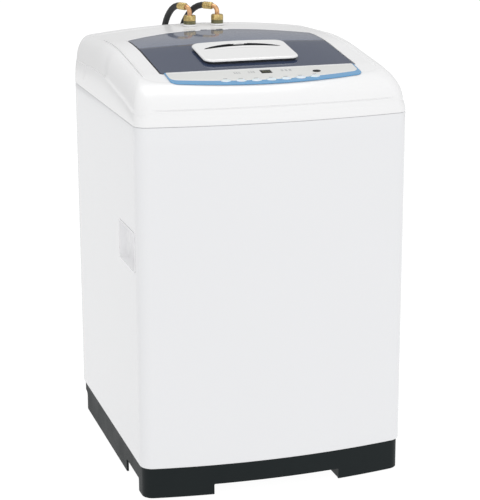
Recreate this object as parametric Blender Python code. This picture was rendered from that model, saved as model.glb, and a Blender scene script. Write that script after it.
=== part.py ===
"""A full-height top-load washing machine: cabinet, folding lid, hung tub, basket drive, valves and inlet hoses.

Metres, +Z up, front of the machine towards -Y, origin on the floor under the middle of the cabinet.
"""

import math

import bmesh
import bpy
from mathutils import Vector

# Cabinet
width = 0.603
sideDepth = 0.612
frontBow = 0.0288
frontRadius = 0.030
rearRadius = 0.008
sheet = 0.0012
baseTop = 0.0724
seamHeight = 0.823
backPanelSheet = 0.0012
clearance = 0.0004

# Base and feet
baseInset = 0.004
baseWall = 0.005
skirtBottom = 0.003
notchHeight = 0.027
notchHalfWidth = 0.1445
sideNotchFront = 0.0516
sideNotchRear = 0.1666
sideNotchHeight = 0.033
ribThickness = 0.005
ribRear = -0.235
cornerCut = 0.027
cornerCutTop = 0.050
footFlangeHeight = 0.056
footFlangeReach = 0.080
footX = 0.259
footFrontY = -0.232
footRearY = 0.262
footPadRadius = 0.019
footPadHeight = 0.012
footStudRadius = 0.005

# Top cover
coverWall = 0.0025
coverTaper = 0.006
deckTop = 0.9525
deckSlope = 0.165
slopeEnd = -0.0316
flatStart = 0.1284
noseCurve = 0.45
crownDrop = 0.017
crownHalf = 0.26
sideRun = 0.030
sideDrop = 0.055
frontRun = 0.060
frontDrop = 0.040
coverCornerRadius = 0.046
recessDepth = 0.018
flangeBottom = 0.868
washHalf = 0.185
washFront = -0.135
washRear = 0.140
washSag = 0.020
washRadius = 0.110

# Lid, in two halves that fold upwards at their common edge
lidHalf = 0.2175
lidFront = -0.1816
lidFold = 0.0134
lidRearCorner = 0.1134
lidRearSag = lidHalf * 0.075 / 0.2175
lidGap = 0.0028
paneThickness = 0.004
foldGap = 0.0012
rearAxisInset = 0.0035
rearAxisDepth = 0.0015
rearPinRadius = 0.0008
knuckleX = lidHalf * 0.019 / 0.2175
knuckleHalf = 0.007
knuckleRadius = 0.0024
earX = lidHalf * 0.034 / 0.2175
rearPinHalf = earX + 0.005
earHalf = 0.003
earNotchHalf = 0.007
earNotchReach = 0.006
foldAxisDepth = 0.0075
foldPinRadius = 0.0015
barrelRadius = 0.0032
pinClearance = 0.0003

# Lid handle
handleHalf = 0.108
handleFront = -0.1396
handleRear = -0.0120
handleSag = 0.006
handleRadius = 0.022
handleLift = 0.010
handleWall = 0.0025
pocketHalf = 0.100
pocketFront = -0.133
pocketRear = -0.020
pocketRadius = 0.018
pocketDepth = 0.015
slotHalf = 0.088
slotEndY = -0.0586
slotSag = 0.020
slotWidth = 0.018

# Controls
fasciaHalf = 0.2095
fasciaRear = -0.1848
trimHalf = 0.2125
trimFront = -0.2466
trimSag = 0.024
trimRadius = 0.014
trimWidth = 0.018
panelLift = 0.0006
panelThickness = 0.002
buttonCount = 7
buttonPitch = 0.033
buttonRowX = 0.004
buttonLength = 0.0225
buttonDepth = 0.0135
buttonPlay = 0.0005
buttonProud = 0.0012
buttonHeight = 0.0090
displayX = 0.006
displayY = -0.2070
displayLength = 0.0245
displayDepth = 0.0215
boardHalf = 0.128
boardFront = -0.262
boardRear = -0.196
boardDrop = 0.0035
standOffX = 0.121
standOffYs = (-0.235, -0.207)
standOffWidth = 0.006
boardHeight = 0.0016

# Tub, basket and pulsator
tubRadius = 0.2655
tubWall = 0.003
tubBottom = 0.235
tubTop = 0.797
tubNeckRadius = 0.046
ringInnerRadius = tubRadius - 0.0595
basketRadius = tubRadius - 0.0235
basketWall = 0.0015
basketBottom = 0.264
basketTop = 0.772
balanceInnerRadius = basketRadius - 0.046
balanceHeight = 0.050
pulsatorRadius = basketRadius - 0.074
pulsatorRise = 0.040
pulsatorVanes = 4

# Drive
shaftRadius = 0.009
tubeRadius = 0.0175
tubeBore = 0.0125
hubRadius = 0.080
gearCaseRadius = 0.066
gearCaseBottom = 0.150
drivePulleyRadius = 0.075
motorPulleyRadius = 0.020
pulleyHeight = 0.121
motorX = 0.125
motorY = 0.100
motorRadius = 0.062
beltThickness = 0.008
plateHeight = 0.222

# Suspension
rodX = 0.243
rodFrontY = -0.238
rodRearY = 0.243
rodRadius = 0.005
rodTop = 0.792
cupRadius = 0.021
cupBottom = 0.244
cupHeight = 0.055
lugLift = 0.015
lugThickness = 0.020
hangerHeight = 0.778
hangerOpening = 0.2830

# Water
portXs = (-0.031, 0.037)
portRadius = 0.0118
portTop = 0.972
nutRadius = 0.0150
nutBottom = 0.9572
nutHeight = 0.021
tailRadius = 0.0055
elbowBend = 0.013
elbowHeight = 0.997
ferruleRadius = 0.0088
ferruleLength = 0.024
hoseRadius = 0.0075
hoseJoint = 0.0003
gripHalfLength = 0.070
gripBottom = 0.508
gripTop = 0.592
gripY = -0.192
gripDepth = 0.024

cornerSteps = 3
frontSteps = 8
rearSteps = 6
sideSteps = 4

halfWidth = width / 2
rearY = (sideDepth + frontBow) / 2
portY = rearY - 0.057
frontY = rearY - sideDepth
panelPlane = rearY - backPanelSheet - clearance

materials = {}


def material(name, colour, roughness, metallic=0.0):
    made = materials.get(name)
    if made is None:
        made = bpy.data.materials.new(name)
        made.use_nodes = True
        shader = made.node_tree.nodes["Principled BSDF"]
        shader.inputs["Base Color"].default_value = (*colour, 1.0)
        shader.inputs["Roughness"].default_value = roughness
        shader.inputs["Metallic"].default_value = metallic
        materials[name] = made
    return made


def whitePlastic():
    return material("white_plastic", (0.86, 0.87, 0.88), 0.25)


def whiteSteel():
    return material("white_enamelled_steel", (0.88, 0.89, 0.90), 0.22)


def blackPlastic():
    return material("black_plastic", (0.03, 0.04, 0.045), 0.5)


def greyPlastic():
    return material("grey_plastic", (0.45, 0.46, 0.47), 0.45)


def tintedPane():
    return material("tinted_pane", (0.33, 0.38, 0.47), 0.12)


def silverPlastic():
    return material("silver_plastic", (0.70, 0.70, 0.69), 0.35)


def bluePlastic():
    return material("blue_plastic", (0.10, 0.33, 0.60), 0.3)


def steel():
    return material("steel", (0.55, 0.56, 0.58), 0.35, 1.0)


def brass():
    return material("brass", (0.55, 0.43, 0.22), 0.35, 1.0)


def rubber():
    return material("black_rubber", (0.02, 0.02, 0.02), 0.6)


def addMesh(name, points, faces, surface, origin=(0, 0, 0)):
    """One closed mesh as an object whose own origin is at `origin`."""
    mesh = bpy.data.meshes.new(name)
    shift = Vector(origin)
    mesh.from_pydata([Vector(point) - shift for point in points], [], faces)
    shell = bmesh.new()
    shell.from_mesh(mesh)
    bmesh.ops.remove_doubles(shell, verts=shell.verts, dist=1e-6)
    bmesh.ops.recalc_face_normals(shell, faces=shell.faces)
    shell.to_mesh(mesh)
    shell.free()
    mesh.shade_smooth()
    mesh.set_sharp_from_angle(angle=math.radians(35))
    made = bpy.data.objects.new(name, mesh)
    made.location = origin
    made.data.materials.append(surface)
    bpy.context.collection.objects.link(made)
    return made


def combine(target, other, operation="DIFFERENCE"):
    """Boolean of `other` onto `target`; `other` stays as a wire guide that isn't built."""
    other.hide_render = True
    other.display_type = "WIRE"
    step = target.modifiers.new(operation.lower(), "BOOLEAN")
    step.operation = operation
    step.object = other
    step.solver = "EXACT"
    return target


def bowedOutline(half, front, rear, frontSag, rearSag, frontCorner, rearCorner):
    """Plan outline, anticlockwise from the front left corner, with ends that bow outwards by a sagitta."""

    def bow(sag, corner):
        radius = (half**2 + sag**2) / (2 * sag)
        reach = half - corner
        return radius, math.sqrt((radius - corner) ** 2 - reach**2), math.asin(reach / (radius - corner))

    frontSag, rearSag = max(frontSag, 2e-4), max(rearSag, 2e-4)
    frontBend, frontReach, frontAngle = bow(frontSag, frontCorner)
    rearBend, rearReach, rearAngle = bow(rearSag, rearCorner)
    frontCentre = front - frontSag + frontBend
    rearCentre = rear + rearSag - rearBend
    down, up = -math.pi / 2, math.pi / 2

    def arc(centreX, centreY, radius, start, end, steps, inner=False):
        shown = range(1, steps) if inner else range(steps + 1)
        angles = [start + (end - start) * k / steps for k in shown]
        return [(centreX + radius * math.cos(a), centreY + radius * math.sin(a)) for a in angles]

    def line(start, end, steps):
        return [
            tuple(a + (b - a) * k / steps for a, b in zip(start, end)) for k in range(1, steps)
        ]

    cornerX, rearX = half - frontCorner, half - rearCorner
    cornerY, rearCornerY = frontCentre - frontReach, rearCentre + rearReach
    frontLeft = arc(-cornerX, cornerY, frontCorner, -math.pi, down - frontAngle, cornerSteps)
    frontEdge = arc(0, frontCentre, frontBend, down - frontAngle, down + frontAngle, frontSteps, True)
    frontRight = arc(cornerX, cornerY, frontCorner, down + frontAngle, 0, cornerSteps)
    rearRight = arc(rearX, rearCornerY, rearCorner, 0, up - rearAngle, cornerSteps)
    rearEdge = arc(0, rearCentre, rearBend, up - rearAngle, up + rearAngle, rearSteps, True)
    rearLeft = arc(-rearX, rearCornerY, rearCorner, up + rearAngle, math.pi, cornerSteps)
    return (
        frontLeft
        + frontEdge
        + frontRight
        + line(frontRight[-1], rearRight[0], sideSteps)
        + rearRight
        + rearEdge
        + rearLeft
        + line(rearLeft[-1], frontLeft[0], sideSteps)
    )


def cabinetOutline(inset=0.0):
    return bowedOutline(
        halfWidth - inset,
        frontY + inset,
        panelPlane - inset,
        frontBow,
        0,
        max(frontRadius - inset, 0.002),
        max(rearRadius - inset, 0.002),
    )


def lidOutline(grow=0.0):
    return bowedOutline(
        lidHalf + grow,
        lidFront - grow,
        lidRearCorner + grow,
        0,
        lidRearSag,
        0.002 + grow,
        0.002 + grow,
    )


def lidRearEdge(x):
    """Where the lid's bowed rear edge lies."""
    radius = (lidHalf**2 + lidRearSag**2) / (2 * lidRearSag)
    return lidRearCorner + lidRearSag - radius + math.sqrt(radius**2 - x**2)


def deckHeight(x, y):
    """The top surface of the washer: it rises from the controls to the lid's rear and is crowned there."""
    if y > slopeEnd:
        fall = deckSlope * max(flatStart - y, 0) ** 2 / (2 * (flatStart - slopeEnd))
    else:
        fall = deckSlope * ((flatStart - slopeEnd) / 2 + slopeEnd - y)
    nose = noseCurve * max(lidFront - y, 0) ** 2
    along = min(max((y - lidFront) / (rearY - lidFront), 0), 1)
    return deckTop - fall - nose - crownDrop * along * (x / crownHalf) ** 2


def coverHeight(x, y):
    """The deck with its rolled-over sides and front."""
    edgeX = halfWidth - coverTaper
    edgeY = frontY + coverTaper - frontBow * (1 - (x / halfWidth) ** 2)
    side = min(max(1 - (edgeX - abs(x)) / sideRun, 0), 1)
    front = min(max(1 - (y - edgeY) / frontRun, 0), 1)
    reach = side**2 + front**2
    if reach == 0:
        return deckHeight(x, y)
    drop = (sideDrop * side**2 + frontDrop * front**2) / reach
    return deckHeight(x, y) - drop * (1 - math.sqrt(1 - min(reach, 1)))


def prismMesh(outline, low, high):
    """Points and faces of an upright prism; `low` and `high` are heights or functions of x and y."""
    count = len(outline)
    heights = [z if callable(z) else (lambda x, y, z=z: z) for z in (low, high)]
    points = [(x, y, height(x, y)) for height in heights for x, y in outline]
    faces = [tuple(range(count)), tuple(range(count, 2 * count))]
    faces += [(k, (k + 1) % count, count + (k + 1) % count, count + k) for k in range(count)]
    return points, faces


def prism(name, outline, low, high, surface, origin=(0, 0, 0)):
    return addMesh(name, *prismMesh(outline, low, high), surface, origin)


def box(name, low, high, surface, origin=(0, 0, 0)):
    outline = [(low[0], low[1]), (high[0], low[1]), (high[0], high[1]), (low[0], high[1])]
    return prism(name, outline, low[2], high[2], surface, origin)


def ellipse(x, y, length, depth, steps=14):
    angles = [2 * math.pi * k / steps for k in range(steps)]
    return [(x + length / 2 * math.cos(a), y + depth / 2 * math.sin(a)) for a in angles]


def ringShell(name, rings, surface, origin=(0, 0, 0)):
    """A closed shell from rings of points, each joined to the next and the last to the first."""
    count, steps = len(rings), len(rings[0])
    points = [point for ring in rings for point in ring]
    faces = []
    for a in range(count):
        b = (a + 1) % count
        for k in range(steps):
            n = (k + 1) % steps
            faces.append((a * steps + k, a * steps + n, b * steps + n, b * steps + k))
    return addMesh(name, points, faces, surface, origin)


def lathe(name, profile, surface, centre=(0, 0), steps=28, closed=True, origin=None, radial=None):
    """A turned piece from (radius, height) points; an open profile starts and ends on the axis."""
    x0, y0 = centre
    points, faces, rows = [], [], []
    for radius, z in profile:
        if radius == 0:
            rows.append([len(points)] * steps)
            points.append((x0, y0, z))
            continue
        row = []
        for k in range(steps):
            angle = 2 * math.pi * k / steps
            row.append(len(points))
            scale = radial(radius, z, angle) if radial else (radius, z)
            points.append((x0 + scale[0] * math.cos(angle), y0 + scale[0] * math.sin(angle), scale[1]))
        rows.append(row)
    last = len(rows) if closed else len(rows) - 1
    for a in range(last):
        low, high = rows[a], rows[(a + 1) % len(rows)]
        for k in range(steps):
            n = (k + 1) % steps
            corners = dict.fromkeys((low[k], low[n], high[n], high[k]))
            faces.append(tuple(corners))
    return addMesh(name, points, faces, surface, origin or (x0, y0, 0))


def crossBar(name, y, z, radius, low, high, surface, steps=12, origin=(0, 0, 0)):
    """A round bar along X."""
    ends = []
    for x in (low, high):
        angles = [2 * math.pi * k / steps for k in range(steps)]
        ends += [(x, y + radius * math.cos(a), z + radius * math.sin(a)) for a in angles]
    faces = [tuple(range(steps)), tuple(range(steps, 2 * steps))]
    faces += [(k, (k + 1) % steps, steps + (k + 1) % steps, steps + k) for k in range(steps)]
    return addMesh(name, ends, faces, surface, origin)


def barX(name, outline, low, high, surface):
    """A bar along X with the given outline in Y and Z."""
    count = len(outline)
    points = [(x, y, z) for x in (low, high) for y, z in outline]
    faces = [tuple(range(count)), tuple(range(count, 2 * count))]
    faces += [(k, (k + 1) % count, count + (k + 1) % count, count + k) for k in range(count)]
    return addMesh(name, points, faces, surface)


def slab(name, xs, front, rear, rows, lift, thickness, surface, origin=(0, 0, 0)):
    """A plate of even thickness that follows the deck between two edges given as functions of x."""
    tops = []
    for row in range(rows + 1):
        for x in xs:
            y = front(x) + (rear(x) - front(x)) * row / rows
            tops.append((x, y, deckHeight(x, y) + lift))
    bottoms = [(x, y, z - thickness) for x, y, z in tops]
    across, total = len(xs), len(tops)
    faces = []
    for row in range(rows):
        for k in range(across - 1):
            a = row * across + k
            quad = (a, a + 1, a + across + 1, a + across)
            faces += [quad, tuple(total + v for v in quad)]
    rim = list(range(across))
    rim += [row * across + across - 1 for row in range(1, rows + 1)]
    rim += [rows * across + k for k in range(across - 2, -1, -1)]
    rim += [row * across for row in range(rows - 1, 0, -1)]
    faces += [(a, b, total + b, total + a) for a, b in zip(rim, rim[1:] + rim[:1])]
    return addMesh(name, tops + bottoms, faces, surface, origin)


def evenly(low, high, steps):
    return [low + (high - low) * k / steps for k in range(steps + 1)]


def deckPlate(name, outline, lift, thickness, surface, columns=10, rows=4, origin=(0, 0, 0)):
    """A plate on the deck with the given plan outline."""
    margin = 0.002
    xs = evenly(min(x for x, _ in outline) - margin, max(x for x, _ in outline) + margin, columns)
    front, rear = min(y for _, y in outline) - margin, max(y for _, y in outline) + margin
    plate = slab(name, xs, lambda x: front, lambda x: rear, rows, lift, thickness, surface, origin)
    shape = prism(name + "_outline", outline, deckTop - 0.12, deckTop + 0.05, surface)
    return combine(plate, shape, "INTERSECT")


def sweep(name, path, radii, surface, steps=12, origin=(0, 0, 0)):
    """A round piece along a path in one upright plane, with a radius for each point and flat ends."""
    path = [Vector(point) for point in path]
    away = path[-1] - path[0]
    across = Vector((-away.y, away.x, 0)).normalized()
    points, faces = [], []
    for k, point in enumerate(path):
        along = path[min(k + 1, len(path) - 1)] - path[max(k - 1, 0)]
        rise = across.cross(along.normalized())
        for j in range(steps):
            angle = 2 * math.pi * j / steps
            points.append(point + radii[k] * (math.cos(angle) * across + math.sin(angle) * rise))
    for k in range(len(path) - 1):
        for j in range(steps):
            n = (j + 1) % steps
            faces.append((k * steps + j, k * steps + n, (k + 1) * steps + n, (k + 1) * steps + j))
    faces.append(tuple(range(steps)))
    faces.append(tuple((len(path) - 1) * steps + j for j in range(steps)))
    return addMesh(name, points, faces, surface, origin)


def flat(outline, height):
    return [(x, y, height) for x, y in outline]


def mixOutlines(first, second, share):
    return [
        (a[0] + (b[0] - a[0]) * share, a[1] + (b[1] - a[1]) * share) for a, b in zip(first, second)
    ]


def buildBase():
    outer = cabinetOutline(baseInset)
    inner = cabinetOutline(baseInset + baseWall)
    mouth = cabinetOutline(baseInset + footFlangeReach)
    top, shelf = baseTop - clearance, footFlangeHeight + baseWall
    rings = [
        flat(outer, skirtBottom),
        flat(outer, top),
        flat(inner, top),
        flat(inner, shelf),
        flat(mouth, shelf),
        flat(mouth, footFlangeHeight),
        flat(inner, footFlangeHeight),
        flat(inner, skirtBottom),
    ]
    base = ringShell("base_frame", rings, blackPlastic())
    far = halfWidth + 0.05
    frontNotch = box(
        "front_notch", (-notchHalfWidth, -far, -0.01), (notchHalfWidth, 0, notchHeight), blackPlastic()
    )
    rearNotch = box(
        "rear_notch", (-notchHalfWidth, 0.1, -0.01), (notchHalfWidth, far, notchHeight), blackPlastic()
    )
    sideNotch = box(
        "side_notch", (-far, frontY + sideNotchFront, -0.01), (far, frontY + sideNotchRear, sideNotchHeight),
        blackPlastic(),
    )
    rearSlope = [
        (rearY + 0.05, -0.01), (rearY - cornerCut, -0.01), (rearY - cornerCut, cornerCutTop - 0.010),
        (rearY - 0.75 * cornerCut, cornerCutTop - 0.003), (rearY - 0.2 * cornerCut, cornerCutTop),
        (rearY + 0.05, cornerCutTop),
    ]
    rearCut = barX("rear_cut", rearSlope, -far, far, blackPlastic())
    for cutter in (frontNotch, rearNotch, sideNotch, rearCut):
        combine(base, cutter)
    ribFront = frontY - frontBow * (1 - (notchHalfWidth / halfWidth) ** 2) + baseInset + baseWall - 0.0015
    for x in (-notchHalfWidth - ribThickness, notchHalfWidth + 0.0001):
        rib = box(
            "notch_rib", (x, ribFront, skirtBottom + 0.001), (x + ribThickness, ribRear, footFlangeHeight + 0.002),
            blackPlastic(),
        )
        combine(base, rib, "UNION")
    for name, x, y in footPlaces():
        hole = lathe(
            "hole_" + name,
            [(0, footFlangeHeight - 0.01), (footStudRadius + clearance, footFlangeHeight - 0.01),
             (footStudRadius + clearance, shelf + 0.01), (0, shelf + 0.01)],
            blackPlastic(), (x, y), 12, closed=False,
        )
        combine(base, hole)
        profile = [
            (0, 0),
            (footPadRadius - 0.002, 0),
            (footPadRadius, 0.003),
            (footPadRadius, footPadHeight - 0.003),
            (0.010, footPadHeight),
            (footStudRadius, footPadHeight + 0.004),
            (footStudRadius, shelf + 0.008),
            (0, shelf + 0.008),
        ]
        lathe(name, profile, blackPlastic(), (x, y), 16, closed=False)


def footPlaces():
    return [
        ("leveling_foot_front_left", -footX, footFrontY),
        ("leveling_foot_front_right", footX, footFrontY),
        ("leveling_foot_rear_left", -footX, footRearY),
        ("leveling_foot_rear_right", footX, footRearY),
    ]


def rodPlaces():
    return [
        ("suspension_rod_front_left", -rodX, rodFrontY),
        ("suspension_rod_front_right", rodX, rodFrontY),
        ("suspension_rod_rear_left", -rodX, rodRearY),
        ("suspension_rod_rear_right", rodX, rodRearY),
    ]


def circleLike(outline, radius):
    """The points of a circle that lie towards those of an outline."""
    made = []
    for x, y in outline:
        length = math.hypot(x, y)
        made.append((radius * x / length, radius * y / length))
    return made


def gripBox(side, grow):
    """Low and high corners of a hand grip's pocket, grown by a wall."""
    outer = side * (halfWidth + 0.01)
    inner = side * (halfWidth - gripDepth - grow)
    low = (min(outer, inner), gripY - gripHalfLength - grow, gripBottom - grow)
    high = (max(outer, inner), gripY + gripHalfLength + grow, gripTop + grow)
    return low, high


def buildCabinet():
    outer, inner = cabinetOutline(), cabinetOutline(sheet)
    opening = circleLike(inner, hangerOpening)
    top = seamHeight - clearance
    rings = [
        flat(outer, baseTop),
        flat(outer, top),
        flat(inner, top),
        flat(inner, hangerHeight + 0.003),
        flat(opening, hangerHeight + 0.003),
        flat(opening, hangerHeight),
        flat(inner, hangerHeight),
        flat(inner, baseTop),
    ]
    cabinet = ringShell("cabinet_wrap", rings, whiteSteel())
    rearOpening = box(
        "rear_opening", (-0.250, 0.25, 0.120), (0.250, rearY + 0.05, 0.740), whiteSteel()
    )
    combine(cabinet, rearOpening)
    for side in (-1, 1):
        combine(cabinet, box("grip_hole", *gripBox(side, 0.0025 + clearance), whiteSteel()))
    for name, x, y in rodPlaces():
        radius = rodRadius + 0.0012
        hole = lathe(
            "hole_" + name,
            [(0, hangerHeight - 0.01), (radius, hangerHeight - 0.01),
             (radius, hangerHeight + 0.01), (0, hangerHeight + 0.01)],
            whiteSteel(), (x, y), 12, closed=False,
        )
        combine(cabinet, hole)

    back = box(
        "back_panel", (-0.262, rearY - backPanelSheet, 0.108), (0.262, rearY, 0.752), whiteSteel()
    )
    for name, (x, z, radius) in (("outlet_hole", (0.150, 0.165, 0.021)), ("cord_hole", (-0.200, 0.165, 0.010))):
        hole = alongY(name, x, z, [(radius, rearY - 0.02), (radius, rearY + 0.02)], whiteSteel())
        combine(back, hole)


def alongY(name, x, z, profile, surface, steps=20, origin=(0, 0, 0), closed=False):
    """A turned piece about an axis along Y, from (radius, y) points; open profiles get flat ends."""
    points, faces = [], []
    for radius, y in profile:
        angles = [2 * math.pi * k / steps for k in range(steps)]
        points += [(x + radius * math.cos(a), y, z + radius * math.sin(a)) for a in angles]
    count = len(profile)
    for a in range(count if closed else count - 1):
        b = (a + 1) % count
        for k in range(steps):
            n = (k + 1) % steps
            faces.append((a * steps + k, a * steps + n, b * steps + n, b * steps + k))
    if not closed:
        faces += [tuple(range(steps)), tuple((count - 1) * steps + k for k in range(steps))]
    return addMesh(name, points, faces, surface, origin)


def buildGrips():
    for side, name in ((-1, "side_grip_left"), (1, "side_grip_right")):
        wall = 0.0025
        (lowX, lowY, lowZ), (highX, highY, highZ) = gripBox(side, wall)
        face = side * (halfWidth + 0.0012)
        low = (max(lowX, -abs(face)), lowY, lowZ)
        high = (min(highX, abs(face)), highY, highZ)
        cup = box(name, low, high, whitePlastic())
        combine(cup, box(name + "_pocket", *gripBox(side, 0), whitePlastic()))


def buildCover():
    lowerOuter = bowedOutline(halfWidth, frontY, rearY, frontBow, 0, frontRadius, rearRadius)
    lowerInner = bowedOutline(
        halfWidth - coverWall, frontY + coverWall, rearY - coverWall, frontBow, 0,
        frontRadius - coverWall, rearRadius - coverWall,
    )

    def shoulderOutline(inset):
        return bowedOutline(
            halfWidth - coverTaper - inset, frontY + coverTaper + inset, rearY - inset, frontBow, 0,
            coverCornerRadius - inset, rearRadius - inset,
        )

    def islandOutline(inset):
        return bowedOutline(
            halfWidth - coverTaper - sideRun - inset, frontY + coverTaper + frontRun + inset,
            rearY - 0.010 - inset, frontBow, 0, coverCornerRadius, rearRadius,
        )

    edge, island = shoulderOutline(0), islandOutline(0)
    innerEdge, innerIsland = shoulderOutline(coverWall), islandOutline(coverWall)
    lid, lidBack = lidOutline(lidGap), lidOutline(lidGap + coverWall)
    wash = bowedOutline(washHalf, washFront, washRear, washSag, washSag, washRadius, washRadius)
    washBack = bowedOutline(
        washHalf + coverWall, washFront - coverWall, washRear + coverWall, washSag, washSag,
        washRadius + coverWall, washRadius + coverWall,
    )
    turns = [math.radians(angle) for angle in (0, 22.5, 45, 67.5, 90)]

    def onCover(outline, drop=0.0):
        return [(x, y, coverHeight(x, y) - drop) for x, y in outline]

    outerRings = [flat(lowerOuter, seamHeight)]
    outerRings += [onCover(mixOutlines(edge, island, 1 - math.cos(turn))) for turn in turns]
    outerRings += [onCover(mixOutlines(island, lid, share)) for share in (1 / 3, 2 / 3, 1)]
    outerRings += [onCover(lid, recessDepth), onCover(wash, recessDepth), flat(wash, flangeBottom)]
    innerRings = [flat(washBack, flangeBottom), onCover(washBack, recessDepth + coverWall)]
    innerRings += [onCover(lidBack, recessDepth + coverWall), onCover(lidBack, coverWall)]
    innerRings += [onCover(mixOutlines(innerIsland, lidBack, share), coverWall) for share in (2 / 3, 1 / 3)]
    for turn in reversed(turns):
        outerLine = mixOutlines(edge, island, 1 - math.cos(turn))
        innerLine = mixOutlines(innerEdge, innerIsland, 1 - math.cos(turn))
        innerRings.append(
            [
                (inside[0], inside[1], coverHeight(*outside) - coverWall * math.sin(turn))
                for inside, outside in zip(innerLine, outerLine)
            ]
        )
    innerRings.append(flat(lowerInner, seamHeight))
    cover = ringShell("top_cover", outerRings + innerRings, whitePlastic())
    for x in portXs:
        hole = lathe(
            "port_hole",
            [(0, 0.93), (portRadius + clearance, 0.93), (portRadius + clearance, 0.98), (0, 0.98)],
            whitePlastic(), (x, portY), 14, closed=False,
        )
        combine(cover, hole)
    for x in buttonXs():
        combine(cover, buttonHole("cover_button_hole", x))
    window = box(
        "cover_display_hole",
        (displayX - displayLength / 2, displayY - displayDepth / 2, 0.85),
        (displayX + displayLength / 2, displayY + displayDepth / 2, 1.0),
        whitePlastic(),
    )
    combine(cover, window)


def buttonXs():
    middle = (buttonCount - 1) / 2
    return [buttonRowX + buttonPitch * (k - middle) for k in range(buttonCount)]


def trimEdge(x):
    """The line between the fascia and the blue trim, parallel to the bowed front."""
    return trimFront + trimWidth - trimSag * (1 - (x / trimHalf) ** 2)


def buttonHole(name, x):
    outline = ellipse(x, trimEdge(x), buttonLength + 2 * buttonPlay, buttonDepth + 2 * buttonPlay)
    return prism(name, outline, 0.85, 1.0, whitePlastic())


def buildControls():
    outline = bowedOutline(trimHalf, trimFront, fasciaRear, trimSag, 0, trimRadius, 0.001)
    fasciaFront = trimFront + trimWidth
    fasciaOutline = bowedOutline(fasciaHalf, fasciaFront, fasciaRear, trimSag, 0, trimRadius, 0.001)
    fascia = deckPlate("control_fascia", fasciaOutline, panelLift + panelThickness, panelThickness, silverPlastic())
    trim = deckPlate("blue_trim", outline, panelLift + panelThickness, panelThickness, bluePlastic())
    inside = bowedOutline(
        fasciaHalf + 0.0003, fasciaFront - 0.0003, fasciaRear + 0.01, trimSag, 0, trimRadius + 0.0003, 0.001
    )
    combine(trim, prism("trim_inside", inside, 0.85, 1.0, bluePlastic()))
    names = ("power", "start_pause", "cycle", "water_level", "soil", "rinse", "delay")
    for x, name in zip(buttonXs(), names):
        combine(fascia, buttonHole("fascia_button_hole", x))
        combine(trim, buttonHole("trim_button_hole", x))
        y = trimEdge(x)
        lift = panelLift + panelThickness + buttonProud
        place = (x, y, deckHeight(x, y))
        deckPlate(
            "button_" + name, ellipse(x, y, buttonLength, buttonDepth), lift, buttonHeight,
            whitePlastic(), 2, 2, place,
        )
    windowLow = (displayX - displayLength / 2, displayY - displayDepth / 2, 0.85)
    windowHigh = (displayX + displayLength / 2, displayY + displayDepth / 2, 1.0)
    combine(fascia, box("fascia_display_hole", windowLow, windowHigh, silverPlastic()))
    play = 0.0004
    window = [
        (windowLow[0] + play, windowLow[1] + play), (windowHigh[0] - play, windowLow[1] + play),
        (windowHigh[0] - play, windowHigh[1] - play), (windowLow[0] + play, windowHigh[1] - play),
    ]
    windowLift = panelLift + panelThickness - 0.0004
    deckPlate("display_window", window, windowLift, 0.0055, blackPlastic(), 2, 2)
    xs = evenly(-boardHalf, boardHalf, 2)
    boardLift = -(buttonHeight - panelLift - panelThickness - buttonProud) - boardDrop
    boardSurface = material("green_board", (0.05, 0.22, 0.10), 0.5)
    board = slab(
        "control_board", xs, lambda x: boardFront, lambda x: boardRear, 2, boardLift, boardHeight, boardSurface,
    )
    for x in (-standOffX, standOffX):
        for y in standOffYs:
            reach = -boardLift - coverWall - clearance + boardHeight / 2
            post = deckPlate(
                "board_stand_off", ellipse(x, y, standOffWidth, standOffWidth, 8), -coverWall - clearance, reach,
                boardSurface, 2, 2,
            )
            combine(board, post, "UNION")


def rearAxis():
    y = lidRearCorner + lidRearSag - rearAxisInset
    return y, deckHeight(0, y) - rearAxisDepth


def foldAxis():
    return lidFold, deckHeight(lidHalf, lidFold) - foldAxisDepth


def hingeBarrel(name, y, z, low, high, towards, paneZ, surface):
    """A barrel round a pin with a web up to the pane on one side of it, as one wire guide."""
    barrel = crossBar(name, y, z, barrelRadius, low, high, surface, 14)
    near, far = y + towards * 0.0009, y + towards * 0.0085
    outline = [(near, z - 0.0012), (far, paneZ(far)), (far, paneZ(far) + 0.0015), (near, paneZ(near) + 0.0015)]
    return barrel, barX(name + "_web", outline, low, high, surface)


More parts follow.
